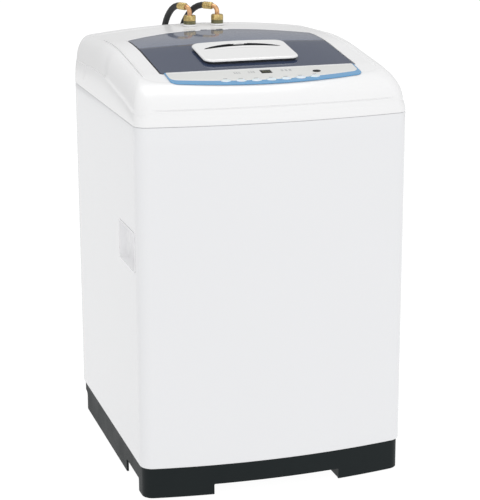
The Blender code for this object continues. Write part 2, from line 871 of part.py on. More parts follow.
def buildLid():
    rearY0, rearZ = rearAxis()
    foldY, foldZ = foldAxis()
    rearOrigin, foldOrigin = (0, rearY0, rearZ), (0, foldY, foldZ)
    xs = evenly(-lidHalf, lidHalf, 12)
    rear = slab(
        "lid_rear", xs, lambda x: lidFold + foldGap / 2, lidRearEdge, 4, 0, paneThickness,
        tintedPane(), rearOrigin,
    )
    front = slab(
        "lid_front", xs, lambda x: lidFront, lambda x: lidFold - foldGap / 2, 6, 0, paneThickness,
        tintedPane(), foldOrigin,
    )

    def underside(x):
        return lambda y: deckHeight(x, y) - paneThickness

    for side in (-1, 1):
        x = side * (lidHalf - 0.0175)
        for piece in hingeBarrel("rear_fold_barrel", foldY, foldZ, x - 0.007, x + 0.007, 1, underside(x), tintedPane()):
            combine(rear, piece, "UNION")
        x = side * (lidHalf - 0.0335)
        for piece in hingeBarrel("front_fold_barrel", foldY, foldZ, x - 0.007, x + 0.007, -1, underside(x), tintedPane()):
            combine(front, piece, "UNION")
        x = side * knuckleX
        knuckle = crossBar(
            "rear_hinge_knuckle", rearY0, rearZ, knuckleRadius, x - knuckleHalf, x + knuckleHalf, tintedPane(), 14
        )
        combine(rear, knuckle, "UNION")
        x = side * earX
        notch = box(
            "ear_notch", (x - earNotchHalf, rearY0 - earNotchReach, 0.9), (x + earNotchHalf, rearY0 + 0.02, 1.0),
            tintedPane(),
        )
        combine(rear, notch)
    foldHole = crossBar("fold_bore", foldY, foldZ, foldPinRadius + pinClearance, -lidHalf, lidHalf, steel(), 14)
    rearHole = crossBar("rear_bore", rearY0, rearZ, rearPinRadius + pinClearance, -0.028, 0.028, steel(), 14)
    combine(front, foldHole)
    combine(rear, foldHole)
    combine(rear, rearHole)
    crossBar("lid_fold_pin", foldY, foldZ, foldPinRadius, -(lidHalf - 0.009), lidHalf - 0.009, steel(), 10, foldOrigin)
    crossBar("lid_hinge_pin", rearY0, rearZ, rearPinRadius, -rearPinHalf, rearPinHalf, steel(), 10, rearOrigin)
    return front, foldOrigin


def buildHingeBracket():
    """A plate on the cover's ledge with two cradles, open at the top, that the rear pin snaps into."""
    y, z = rearAxis()
    floor = deckTop - recessDepth + 0.0005
    half = earX + earHalf + 0.001
    bracket = box("lid_hinge_bracket", (-half, y - 0.016, floor), (half, y + 0.0019, floor + 0.0016), steel())
    for side in (-1, 1):
        x = side * earX
        ear = box("bracket_ear", (x - earHalf, y - 0.003, floor + 0.0004), (x + earHalf, y + 0.0022, z), steel())
        combine(bracket, ear, "UNION")
    combine(bracket, crossBar("bracket_bore", y, z, rearPinRadius + pinClearance, -0.1, 0.1, steel(), 14))


def slotLine(x):
    return slotEndY + slotSag * (1 - (x / slotHalf) ** 2)


def buildHandle(lidFrontPane, foldOrigin):
    """A raised grip with a finger pocket under it; the pocket's cup passes through the front pane."""
    outline = bowedOutline(handleHalf, handleFront, handleRear, 0, handleSag, handleRadius, handleRadius)
    handle = deckPlate("lid_handle", outline, handleLift, handleLift - 0.0004, whitePlastic(), 8, 8, foldOrigin)

    def cupOutline(grow):
        return bowedOutline(
            pocketHalf + grow, pocketFront - grow, pocketRear + grow, 0, 0, pocketRadius + grow, pocketRadius + grow
        )

    def below(drop):
        return lambda x, y: deckHeight(0, y) - drop

    cup = prism(
        "pocket_cup", cupOutline(handleWall), below(pocketDepth + handleWall), below(-0.003), whitePlastic()
    )
    combine(handle, cup, "UNION")
    pocket = prism(
        "pocket_space", cupOutline(0), below(pocketDepth), below(-handleLift + 0.003), whitePlastic(),
    )
    combine(handle, pocket)
    xs = evenly(-slotHalf, slotHalf, 12)
    rearLine = [(x, slotLine(x) + slotWidth * math.sqrt(max(1 - (x / slotHalf) ** 2, 0.05)) / 2) for x in xs]
    frontLine = [(x, slotLine(x) - slotWidth * math.sqrt(max(1 - (x / slotHalf) ** 2, 0.05)) / 2) for x in xs]
    slot = prism("finger_slot", frontLine + rearLine[::-1], below(-0.002), below(-0.04), whitePlastic())
    combine(handle, slot)
    hole = prism("pane_hole", cupOutline(handleWall + clearance), 0.85, 1.0, tintedPane())
    combine(lidFrontPane, hole)


def buildTub():
    inner = tubRadius - tubWall
    profile = [
        (tubNeckRadius, tubBottom),
        (tubRadius - 0.012, tubBottom),
        (tubRadius, tubBottom + 0.012),
        (tubRadius, tubTop),
        (inner, tubTop),
        (inner, tubBottom + 0.012),
        (inner - 0.011, tubBottom + tubWall),
        (tubNeckRadius, tubBottom + tubWall),
    ]
    tub = lathe("outer_tub", profile, greyPlastic())
    lugBottom = cupBottom + cupHeight + lugLift
    for name, x, y in rodPlaces():
        along = Vector((x, y)).normalized()
        across = Vector((-along.y, along.x))
        start = along * (tubRadius - 0.0026)
        end = Vector((x, y)) + along * 0.016
        half = 0.016
        outline = [start - across * half * 1.6, end - across * half, end + across * half, start + across * half * 1.6]
        lug = prism("lug_" + name, [tuple(p) for p in outline], lugBottom, lugBottom + lugThickness, greyPlastic())
        combine(tub, lug, "UNION")
        radius = rodRadius + 0.0015
        bore = lathe(
            "bore_" + name,
            [(0, lugBottom - 0.01), (radius, lugBottom - 0.01), (radius, lugBottom + 0.05), (0, lugBottom + 0.05)],
            greyPlastic(), (x, y), 12, closed=False,
        )
        combine(tub, bore)
    drain = lathe(
        "drain_bore", [(0, 0.2), (0.014, 0.2), (0.014, 0.26), (0, 0.26)], greyPlastic(), (0.150, -0.120), 16,
        closed=False,
    )
    combine(tub, drain)

    ringBase = tubTop + clearance
    ringProfile = [
        (ringInnerRadius, ringBase - 0.006),
        (ringInnerRadius + 0.0025, ringBase - 0.006),
        (ringInnerRadius + 0.0025, ringBase),
        (tubRadius + clearance, ringBase),
        (tubRadius + clearance, ringBase - 0.010),
        (tubRadius + 0.003, ringBase - 0.010),
        (tubRadius + 0.003, ringBase + 0.003),
        (ringInnerRadius, ringBase + 0.006),
    ]
    lathe("tub_cover_ring", ringProfile, greyPlastic())

    inside = basketRadius - basketWall
    basketProfile = [
        (tubeRadius + 0.006, basketBottom),
        (basketRadius - 0.010, basketBottom),
        (basketRadius, basketBottom + 0.010),
        (basketRadius, basketTop),
        (inside, basketTop),
        (inside, basketBottom + 0.0105),
        (inside - 0.0095, basketBottom + basketWall),
        (tubeRadius + 0.006, basketBottom + basketWall),
    ]
    lathe("wash_basket", basketProfile, steel())

    ringLow = basketTop - balanceHeight + 0.014
    balanceProfile = [
        (balanceInnerRadius + 0.006, ringLow),
        (inside - 0.003, ringLow),
        (inside - clearance, ringLow + 0.004),
        (inside - clearance, basketTop + clearance),
        (basketRadius + 0.002, basketTop + clearance),
        (basketRadius + 0.002, basketTop + 0.008),
        (basketRadius - 0.004, basketTop + 0.014),
        (balanceInnerRadius + 0.006, basketTop + 0.014),
        (balanceInnerRadius, basketTop + 0.006),
        (balanceInnerRadius, ringLow + 0.008),
    ]
    lathe("balance_ring", balanceProfile, whitePlastic())

    low = basketBottom + basketWall + 0.004

    def vanes(radius, z, angle):
        share = min(max((radius - 0.030) / 0.10, 0), 1) * min(max((pulsatorRadius - 0.004 - radius) / 0.03, 0), 1)
        lift = 0.014 * share * max(math.cos(pulsatorVanes * angle), 0) ** 2
        return radius, z + (lift if z > low + 0.006 else 0)

    pulsatorProfile = [
        (0, low),
        (pulsatorRadius - 0.004, low),
        (pulsatorRadius, low + 0.004),
        (pulsatorRadius, low + 0.007),
        (0.140, low + 0.012),
        (0.110, low + 0.017),
        (0.075, low + 0.024),
        (0.045, low + pulsatorRise * 0.80),
        (0.022, low + pulsatorRise * 0.96),
        (0, low + pulsatorRise),
    ]
    lathe("pulsator", pulsatorProfile, whitePlastic(), steps=24, closed=False, radial=vanes)

    filterOuter = math.sqrt((inside - 0.002) ** 2 - 0.034**2)
    box(
        "lint_filter", (-0.034, filterOuter - 0.020, 0.470), (0.034, filterOuter, 0.610), greyPlastic()
    )


def buildDrive():
    hubTop = basketBottom - clearance
    tubeProfile = [
        (tubeBore, 0.140),
        (tubeRadius, 0.140),
        (tubeRadius, hubTop - 0.012),
        (tubeRadius + 0.008, hubTop - 0.006),
        (hubRadius, hubTop - 0.004),
        (hubRadius, hubTop),
        (tubeBore, hubTop),
    ]
    lathe("spin_tube", tubeProfile, steel(), steps=20)
    low = basketBottom + basketWall + 0.004
    shaftProfile = [(0, 0.100), (shaftRadius, 0.100), (shaftRadius, low - clearance), (0, low - clearance)]
    lathe("drive_shaft", shaftProfile, steel(), steps=16, closed=False)

    neck = tubNeckRadius - clearance
    bore = tubeRadius + 0.0008
    flangeTop = tubBottom - clearance
    caseProfile = [
        (bore, gearCaseBottom),
        (gearCaseRadius - 0.006, gearCaseBottom),
        (gearCaseRadius, gearCaseBottom + 0.006),
        (gearCaseRadius, plateHeight - 0.004),
        (0.092, plateHeight - 0.004 + 0.009),
        (0.092, flangeTop),
        (neck, flangeTop),
        (neck, tubBottom + 0.010),
        (bore, tubBottom + 0.010),
    ]
    lathe("gear_case", caseProfile, material("cast_aluminium", (0.50, 0.51, 0.52), 0.5, 1.0), steps=24)

    grooveDepth = 0.006
    hub = shaftRadius + 0.0003

    def pulley(name, radius, boreRadius, centre, surface):
        z = pulleyHeight
        profile = [
            (boreRadius, z - 0.011),
            (boreRadius + 0.007, z - 0.011),
            (boreRadius + 0.007, z - 0.0075),
            (radius, z - 0.0075),
            (radius - grooveDepth, z - 0.003),
            (radius - grooveDepth, z + 0.003),
            (radius, z + 0.0075),
            (boreRadius + 0.007, z + 0.0075),
            (boreRadius + 0.007, z + 0.011),
            (boreRadius, z + 0.011),
        ]
        return lathe(name, profile, surface, centre, 20 if radius > 0.05 else 14)

    pulley("drive_pulley", drivePulleyRadius, hub, (0, 0), material("cast_aluminium", (0.5, 0.51, 0.52), 0.5, 1.0))
    pulley("motor_pulley", motorPulleyRadius, 0.0063, (motorX, motorY), steel())
    buildBelt(grooveDepth)

    motorTop = plateHeight - clearance
    motorProfile = [
        (0, pulleyHeight - 0.010),
        (0.006, pulleyHeight - 0.010),
        (0.006, pulleyHeight + 0.018),
        (0.020, pulleyHeight + 0.018),
        (motorRadius, pulleyHeight + 0.030),
        (motorRadius, motorTop - 0.010),
        (motorRadius - 0.010, motorTop),
        (0, motorTop),
    ]
    lathe("motor", motorProfile, steel(), (motorX, motorY), 24, closed=False)

    plate = box(
        "motor_plate", (-0.120, -0.102, plateHeight), (motorX + 0.072, motorY + 0.072, plateHeight + 0.0025), steel()
    )
    combine(plate, lathe(
        "plate_bore",
        [(0, 0.2), (0.092 + clearance, 0.2), (0.092 + clearance, 0.24), (0, 0.24)],
        steel(), steps=24, closed=False,
    ))
    lathe(
        "motor_capacitor",
        [(0, 0.135), (0.019, 0.135), (0.020, 0.137), (0.020, plateHeight - clearance), (0, plateHeight - clearance)],
        material("capacitor_grey", (0.35, 0.36, 0.38), 0.4), (-0.095, -0.085), 16, closed=False,
    )


def buildBelt(grooveDepth):
    """The V belt: two arcs round the pulleys and two straight runs, as one closed band."""
    rise = 0.0022
    inner = (drivePulleyRadius - grooveDepth + clearance, motorPulleyRadius - grooveDepth + clearance)
    distance = math.hypot(motorX, motorY)
    heading = math.atan2(motorY, motorX)
    spread = math.acos((inner[0] - inner[1]) / distance)

    def loop(extra):
        points = []
        for steps, radius, centre, start, end in (
            (14, inner[0] + extra, (0, 0), heading + spread, heading + 2 * math.pi - spread),
            (8, inner[1] + extra, (motorX, motorY), heading - spread, heading + spread),
        ):
            for k in range(steps + 1):
                angle = start + (end - start) * k / steps
                reach = radius / math.cos((end - start) / steps / 2)
                radiusHere = radius if k in (0, steps) else reach
                points.append((centre[0] + radiusHere * math.cos(angle), centre[1] + radiusHere * math.sin(angle)))
        return points

    inside, outside = loop(0), loop(beltThickness)
    rings = [
        flat(inside, pulleyHeight - rise),
        flat(outside, pulleyHeight - rise - 0.0008),
        flat(outside, pulleyHeight + rise + 0.0008),
        flat(inside, pulleyHeight + rise),
    ]
    ringShell("drive_belt", rings, rubber())


def buildSuspension():
    for name, x, y in rodPlaces():
        cupTop = cupBottom + cupHeight
        profile = [
            (0, cupBottom),
            (cupRadius - 0.004, cupBottom),
            (cupRadius, cupBottom + 0.004),
            (cupRadius, cupTop - 0.003),
            (cupRadius - 0.003, cupTop),
            (rodRadius, cupTop),
            (rodRadius, hangerHeight + 0.0035),
            (rodRadius + 0.006, hangerHeight + 0.0035),
            (rodRadius + 0.006, rodTop - 0.004),
            (rodRadius + 0.002, rodTop),
            (0, rodTop),
        ]
        lathe(name, profile, steel(), (x, y), 16, closed=False)


def elbowPath(x, heading):
    """Up through the nut, round a quarter bend, out along the heading."""
    along = Vector((heading[0], heading[1], 0)).normalized()
    foot = Vector((x, portY, nutBottom + nutHeight - 0.008))
    bendStart = Vector((x, portY, elbowHeight - elbowBend))
    path, radii = [foot, bendStart], [tailRadius, tailRadius]
    for k in range(1, 5):
        angle = math.pi / 2 * k / 4
        path.append(bendStart + along * elbowBend * (1 - math.cos(angle)) + Vector((0, 0, elbowBend * math.sin(angle))))
        radii.append(tailRadius)
    bendEnd = path[-1]
    for reach, radius in (
        (0.002, tailRadius), (0.0021, ferruleRadius - 0.001), (0.004, ferruleRadius),
        (0.010, ferruleRadius), (0.011, ferruleRadius - 0.0009), (0.014, ferruleRadius - 0.0009),
        (0.015, ferruleRadius), (0.0021 + ferruleLength, ferruleRadius),
    ):
        path.append(bendEnd + along * reach)
        radii.append(radius)
    return path, radii


def hoseStart(x, heading):
    """The first two points of a hose, squarely behind its ferrule."""
    along = Vector((heading[0], heading[1], 0)).normalized()
    reach = elbowBend + 0.0021 + ferruleLength + hoseJoint
    return [Vector((x, portY, elbowHeight)) + along * (reach + extra) for extra in (0, 0.006)]


def smoothRoute(route, spacing):
    """Points at an even spacing on the smooth curve through a route (centripetal Catmull-Rom)."""
    ends = [route[0] * 2 - route[1]] + route + [route[-1] * 2 - route[-2]]
    fine = []
    for a, b, c, d in zip(ends, ends[1:], ends[2:], ends[3:]):
        times = [0.0]
        for first, second in ((a, b), (b, c), (c, d)):
            times.append(times[-1] + math.sqrt((second - first).length))
        for k in range(24):
            t = times[1] + (times[2] - times[1]) * k / 24
            ab = a.lerp(b, (t - times[0]) / (times[1] - times[0]))
            bc = b.lerp(c, (t - times[1]) / (times[2] - times[1]))
            cd = c.lerp(d, (t - times[2]) / (times[3] - times[2]))
            abc = ab.lerp(bc, (t - times[0]) / (times[2] - times[0]))
            bcd = bc.lerp(cd, (t - times[1]) / (times[3] - times[1]))
            fine.append(abc.lerp(bcd, (t - times[1]) / (times[2] - times[1])))
    fine.append(route[-1])
    lengths = [0.0]
    for first, second in zip(fine, fine[1:]):
        lengths.append(lengths[-1] + (second - first).length)
    steps = max(2, round(lengths[-1] / spacing))
    points, at = [], 0
    for k in range(steps + 1):
        target = lengths[-1] * k / steps
        while at < len(fine) - 2 and lengths[at + 1] < target:
            at += 1
        share = (target - lengths[at]) / (lengths[at + 1] - lengths[at])
        points.append(fine[at].lerp(fine[at + 1], min(share, 1)))
    return points


def hoseTube(name, route):
    """The route's first and last stretch stay straight, so that the hose meets its fittings squarely."""
    points = [route[0]] + smoothRoute(route[1:-1], hoseRadius * 5) + [route[-1]]
    curve = bpy.data.curves.new(name, "CURVE")
    curve.dimensions = "3D"
    curve.bevel_depth = hoseRadius
    curve.bevel_resolution = 2
    curve.use_fill_caps = True
    curve.render_resolution_u = 0
    spline = curve.splines.new("POLY")
    spline.points.add(len(points) - 1)
    for slot, point in zip(spline.points, points):
        slot.co = (*point, 1.0)
    hose = bpy.data.objects.new(name, curve)
    curve.materials.append(rubber())
    bpy.context.collection.objects.link(hose)


def coupling(name, start, heading):
    """The far end of a hose: a crimped sleeve and a swivel nut, lying on the floor."""
    along = Vector((heading[0], heading[1], 0)).normalized()
    path, radii = [], []
    for reach, radius in (
        (0, ferruleRadius), (0.016, ferruleRadius), (0.0161, nutRadius - 0.002), (0.018, nutRadius - 0.0005),
        (0.036, nutRadius - 0.0005), (0.038, nutRadius - 0.0015),
    ):
        path.append(Vector(start) + along * reach)
        radii.append(radius)
    sweep(name, path, radii, brass(), 12)


def buildWater():
    headings = ((-0.40, 0.917), (-0.60, 0.80))
    for x, heading, side in zip(portXs, headings, ("left", "right")):
        nutTop = nutBottom + nutHeight
        threadRadius = portRadius + clearance

        def lobes(radius, z, angle):
            if radius < threadRadius + 0.001:
                return radius, z
            return radius - 0.0011 * (0.5 - 0.5 * math.cos(8 * angle)), z

        nutProfile = [
            (threadRadius, nutBottom),
            (nutRadius, nutBottom),
            (nutRadius, nutTop - 0.002),
            (nutRadius - 0.002, nutTop),
            (tailRadius + clearance, nutTop),
            (tailRadius + clearance, nutTop - 0.0045),
            (threadRadius, nutTop - 0.0045),
        ]
        lathe("inlet_nut_" + side, nutProfile, brass(), (x, portY), 16, radial=lobes)
        path, radii = elbowPath(x, heading)
        elbow = sweep("inlet_elbow_" + side, path, radii, brass(), 10)
        tailLow = nutTop - 0.008
        washer = lathe(
            "tail_flange", [(0, tailLow + 0.0003), (0.0098, tailLow + 0.0003), (0.0098, tailLow + 0.0028), (0, tailLow + 0.0028)],
            brass(), (x, portY), 16, closed=False,
        )
        combine(elbow, washer, "UNION")

    left = [
        *hoseStart(portXs[0], headings[0]), Vector((-0.0560, 0.3205, 0.9905)), Vector((-0.0640, 0.3405, 0.9700)),
        Vector((-0.0695, 0.3540, 0.9400)), Vector((-0.0715, 0.3600, 0.9000)), Vector((-0.0720, 0.3650, 0.7000)),
        Vector((-0.0720, 0.3780, 0.4500)), Vector((-0.0720, 0.3900, 0.2200)), Vector((-0.0640, 0.3930, 0.1000)),
        Vector((-0.0400, 0.3950, 0.0400)), Vector((0.0060, 0.3960, 0.0120)), Vector((0.0560, 0.3970, 0.0100)),
        Vector((0.0900, 0.3980, 0.0148)), Vector((0.1120, 0.3990, 0.0150)),
        Vector((0.1180, 0.3992, 0.0150)),
    ]
    right = [
        *hoseStart(portXs[1], headings[1]), Vector((-0.0010, 0.3140, 0.9915)), Vector((-0.0125, 0.3330, 0.9750)),
        Vector((-0.0225, 0.3485, 0.9500)), Vector((-0.0285, 0.3575, 0.9150)), Vector((-0.0310, 0.3620, 0.8700)),
        Vector((-0.0320, 0.3620, 0.7000)), Vector((-0.0320, 0.3600, 0.4500)), Vector((-0.0320, 0.3590, 0.2200)),
        Vector((-0.0240, 0.3590, 0.1000)), Vector((0.0000, 0.3600, 0.0400)), Vector((0.0460, 0.3600, 0.0120)),
        Vector((0.0960, 0.3600, 0.0100)), Vector((0.1300, 0.3600, 0.0148)), Vector((0.1520, 0.3600, 0.0150)),
        Vector((0.1580, 0.3600, 0.0150)),
    ]
    behind = Vector((0, portY - 0.2634, 0))
    for side, stub, hanging in (("left", left[:2], left[2:]), ("right", right[:2], right[2:])):
        route = stub + [point + behind for point in hanging]
        hoseTube("inlet_hose_" + side, route)
        along = (route[-1] - route[-2]).normalized()
        coupling("hose_coupling_" + side, route[-1] + along * hoseJoint, along)

    valve = box("inlet_valve", (-0.062, portY - 0.0274, 0.880), (0.068, portY + 0.0206, 0.925), whitePlastic())
    for x in portXs:
        port = lathe(
            "valve_port",
            [(0, 0.90), (portRadius, 0.90), (portRadius, deckTop + 0.0005), (portRadius + 0.0042, deckTop + 0.0005),
             (portRadius + 0.0032, nutBottom - clearance), (portRadius, nutBottom - clearance),
             (portRadius, portTop - 0.004), (0, portTop - 0.004)],
            whitePlastic(), (x, portY), 14, closed=False,
        )
        combine(valve, port, "UNION")
        bore = lathe(
            "valve_bore", [(0, 0.935), (0.008, 0.935), (0.008, 0.98), (0, 0.98)], whitePlastic(), (x, portY), 10,
            closed=False,
        )
        combine(valve, bore)
    spout = box("fill_spout", (-0.045, portY - 0.0854, 0.842), (0.045, portY - 0.0279, 0.880), whitePlastic())
    combine(spout, box("spout_channel", (-0.038, portY - 0.1034, 0.847), (0.038, portY - 0.0344, 0.873), whitePlastic()))

    drainProfile = [
        (0, 0.150), (0.026, 0.150), (0.030, 0.154), (0.030, 0.205), (0.020, 0.212), (0.013, 0.214), (0.013, 0.246),
        (0, 0.246),
    ]
    lathe("drain_valve", drainProfile, greyPlastic(), (0.150, -0.120), 20, closed=False)
    outletProfile = [
        (0.014, rearY - 0.060), (0.018, rearY - 0.060), (0.018, rearY - 0.012), (0.028, rearY - 0.012),
        (0.028, rearY - 0.002), (0.0195, rearY - 0.002), (0.0195, rearY), (0.014, rearY),
    ]
    alongY("drain_outlet", 0.150, 0.165, outletProfile, greyPlastic(), closed=True)
    glandProfile = [
        (0.004, rearY - 0.016), (0.014, rearY - 0.016), (0.014, rearY - 0.002), (0.0094, rearY - 0.002),
        (0.0094, rearY), (0.004, rearY),
    ]
    alongY("cord_gland", -0.200, 0.165, glandProfile, blackPlastic(), closed=True)
    lathe(
        "pressure_switch",
        [(0, 0.832), (0.030, 0.832), (0.030, 0.850), (0.012, 0.853), (0.012, 0.937), (0, 0.937)],
        whitePlastic(), (0.235, 0.225), 20, closed=False,
    )


def main():
    for item in list(bpy.data.objects):
        bpy.data.objects.remove(item, do_unlink=True)
    buildBase()
    buildCabinet()
    buildGrips()
    buildCover()
    buildControls()
    pane, foldOrigin = buildLid()
    buildHingeBracket()
    buildHandle(pane, foldOrigin)
    buildTub()
    buildDrive()
    buildSuspension()
    buildWater()


main()
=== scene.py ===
# Portable top-load washer: its look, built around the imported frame. Metres, front towards -Y.
import math

import bmesh
import bpy
from mathutils import Matrix, Vector


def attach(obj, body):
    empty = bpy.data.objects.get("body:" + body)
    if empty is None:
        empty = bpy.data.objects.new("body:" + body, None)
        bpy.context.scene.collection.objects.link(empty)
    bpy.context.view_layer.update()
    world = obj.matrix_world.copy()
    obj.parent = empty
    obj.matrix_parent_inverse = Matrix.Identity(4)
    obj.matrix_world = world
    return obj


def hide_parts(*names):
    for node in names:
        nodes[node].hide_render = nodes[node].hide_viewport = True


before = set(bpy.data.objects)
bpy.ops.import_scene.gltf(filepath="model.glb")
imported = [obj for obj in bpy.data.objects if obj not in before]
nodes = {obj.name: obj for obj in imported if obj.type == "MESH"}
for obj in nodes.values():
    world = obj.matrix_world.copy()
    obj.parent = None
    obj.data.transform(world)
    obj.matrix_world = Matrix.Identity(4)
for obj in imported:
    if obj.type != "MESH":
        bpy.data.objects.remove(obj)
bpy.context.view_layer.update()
print("frame loaded:", len(nodes), "nodes")

# Camera, world and lights
studio = {
    "eye": (-1.0757, -3.5152, 1.4642), "azimuth": -17.18, "elevation": 15.2, "roll": -0.17, "lens": 118.45,
    "floorShown": 0.97, "floorGlow": 0.86,
    "worldColour": (1.0, 1.0, 1.0, 1), "worldFront": 1.16, "worldBack": 0.50, "backdrop": 1.05,
}


def backVector(azimuth, elevation):
    a, e = math.radians(azimuth), math.radians(elevation)
    return Vector((math.sin(a) * math.cos(e), -math.cos(a) * math.cos(e), math.sin(e)))


bpy.ops.object.camera_add()
camera = bpy.context.object
camera.rotation_mode = "QUATERNION"
facing = (-backVector(studio["azimuth"], studio["elevation"])).to_track_quat("-Z", "Y")
camera.rotation_quaternion = facing @ Matrix.Rotation(math.radians(studio["roll"]), 4, "Z").to_quaternion()
camera.location = studio["eye"]
camera.data.sensor_width = 36
camera.data.lens = studio["lens"]
bpy.context.scene.camera = camera
bpy.context.scene.view_settings.view_transform = "Standard"

world = bpy.data.worlds.new("studio")
world.use_nodes = True
background = world.node_tree.nodes["Background"]
background.inputs["Color"].default_value = studio["worldColour"]
tree = world.node_tree
around = tree.nodes.new("ShaderNodeTexCoord")
split = tree.nodes.new("ShaderNodeSeparateXYZ")
tree.links.new(around.outputs["Generated"], split.inputs[0])
shade = tree.nodes.new("ShaderNodeMapRange")
shade.inputs["From Min"].default_value = -0.9
shade.inputs["To Min"].default_value = studio["worldFront"]
shade.inputs["To Max"].default_value = studio["worldBack"]
tree.links.new(split.outputs["Y"], shade.inputs["Value"])
rays = tree.nodes.new("ShaderNodeLightPath")
strength = tree.nodes.new("ShaderNodeMix")
strength.inputs["B"].default_value = studio["backdrop"]
tree.links.new(shade.outputs[0], strength.inputs["A"])
tree.links.new(rays.outputs["Is Camera Ray"], strength.inputs["Factor"])
tree.links.new(strength.outputs["Result"], background.inputs["Strength"])
bpy.context.scene.world = world


def areaLight(name, place, target, size, power):
    bpy.ops.object.light_add(type="AREA", location=place)
    light = bpy.context.object
    light.name = name
    light.data.shape = "RECTANGLE"
    light.data.size, light.data.size_y = size
    light.data.energy = power
    light.rotation_euler = (Vector(target) - Vector(place)).to_track_quat("-Z", "Y").to_euler()


areaLight("front_softbox", (0.9, -3.4, 2.1), (0, 0, 0.6), (2.2, 2.2), 3)
areaLight("top_softbox", (0.0, 0.7, 3.2), (0, 0, 0.9), (2.0, 1.4), 16)


# Shader groups
def newGroup(name, inputs, outputs):
    group = bpy.data.node_groups.new(name, "ShaderNodeTree")
    for label, kind, value in inputs:
        socket = group.interface.new_socket(label, in_out="INPUT", socket_type="NodeSocket" + kind)
        socket.default_value = value
    for label, kind in outputs:
        group.interface.new_socket(label, in_out="OUTPUT", socket_type="NodeSocket" + kind)
    return group, group.nodes.new("NodeGroupInput"), group.nodes.new("NodeGroupOutput")


def addNode(tree, kind, **values):
    node = tree.nodes.new("ShaderNode" + kind)
    for key, value in values.items():
        if key in node.inputs:
            node.inputs[key].default_value = value
        else:
            setattr(node, key, value)
    return node


# Returns a Mix node on colours; factor, first and second are sockets or values
def mixColour(tree, factor, first, second):
    node = tree.nodes.new("ShaderNodeMix")
    node.data_type = "RGBA"
    for slotIndex, value in ((0, factor), (6, first), (7, second)):
        if isinstance(value, bpy.types.NodeSocket):
            tree.links.new(value, node.inputs[slotIndex])
        else:
            node.inputs[slotIndex].default_value = value
    return node.outputs[2]


def remap(tree, value, fromLow, fromHigh, toLow, toHigh):
    node = addNode(tree, "MapRange", clamp=True)
    for index, number in zip(range(1, 5), (fromLow, fromHigh, toLow, toHigh)):
        node.inputs[index].default_value = number
    tree.links.new(value, node.inputs[0])
    return node.outputs[0]


# Moulded or enamelled surface: slow colour drift, fine grain, faint smears in the gloss, and its relief
def makeFinishGroup():
    group, given, out = newGroup(
        "surface_finish",
        [("Colour", "Color", (0.8, 0.8, 0.8, 1)), ("Drift", "Float", 0.03), ("Roughness", "Float", 0.3),
         ("Smears", "Float", 0.08), ("Grain Scale", "Float", 900.0), ("Grain", "Float", 0.0),
         ("Peel Scale", "Float", 180.0), ("Peel", "Float", 0.0)],
        [("Colour", "Color"), ("Roughness", "Float"), ("Height", "Float")],
    )
    tree = group
    where = addNode(tree, "TexCoord").outputs["Object"]

    def noise(scale, detail=2.0, roughness=0.5):
        node = addNode(tree, "TexNoise", Detail=detail, Roughness=roughness)
        tree.links.new(where, node.inputs["Vector"])
        if isinstance(scale, bpy.types.NodeSocket):
            tree.links.new(scale, node.inputs["Scale"])
        else:
            node.inputs["Scale"].default_value = scale
        return node.outputs["Fac"]

    def maths(how, first, second):
        node = addNode(tree, "Math", operation=how)
        for index, value in ((0, first), (1, second)):
            if isinstance(value, bpy.types.NodeSocket):
                tree.links.new(value, node.inputs[index])
            else:
                node.inputs[index].default_value = value
        return node.outputs[0]

    drift = remap(tree, noise(2.3, 3), 0.3, 0.7, -0.5, 0.5)
    value = maths("ADD", 1.0, maths("MULTIPLY", drift, given.outputs["Drift"]))
    shade = addNode(tree, "HueSaturation")
    tree.links.new(given.outputs["Colour"], shade.inputs["Color"])
    tree.links.new(value, shade.inputs["Value"])
    tree.links.new(shade.outputs[0], out.inputs["Colour"])
    smear = remap(tree, noise(14.0, 5, 0.62), 0.42, 0.72, 0.0, 1.0)
    dulled = maths("MULTIPLY", smear, given.outputs["Smears"])
    tree.links.new(maths("ADD", given.outputs["Roughness"], dulled), out.inputs["Roughness"])
    grain = maths("MULTIPLY", noise(given.outputs["Grain Scale"], 1), given.outputs["Grain"])
    peel = maths("MULTIPLY", noise(given.outputs["Peel Scale"], 1), given.outputs["Peel"])
    tree.links.new(maths("ADD", grain, peel), out.inputs["Height"])
    return group


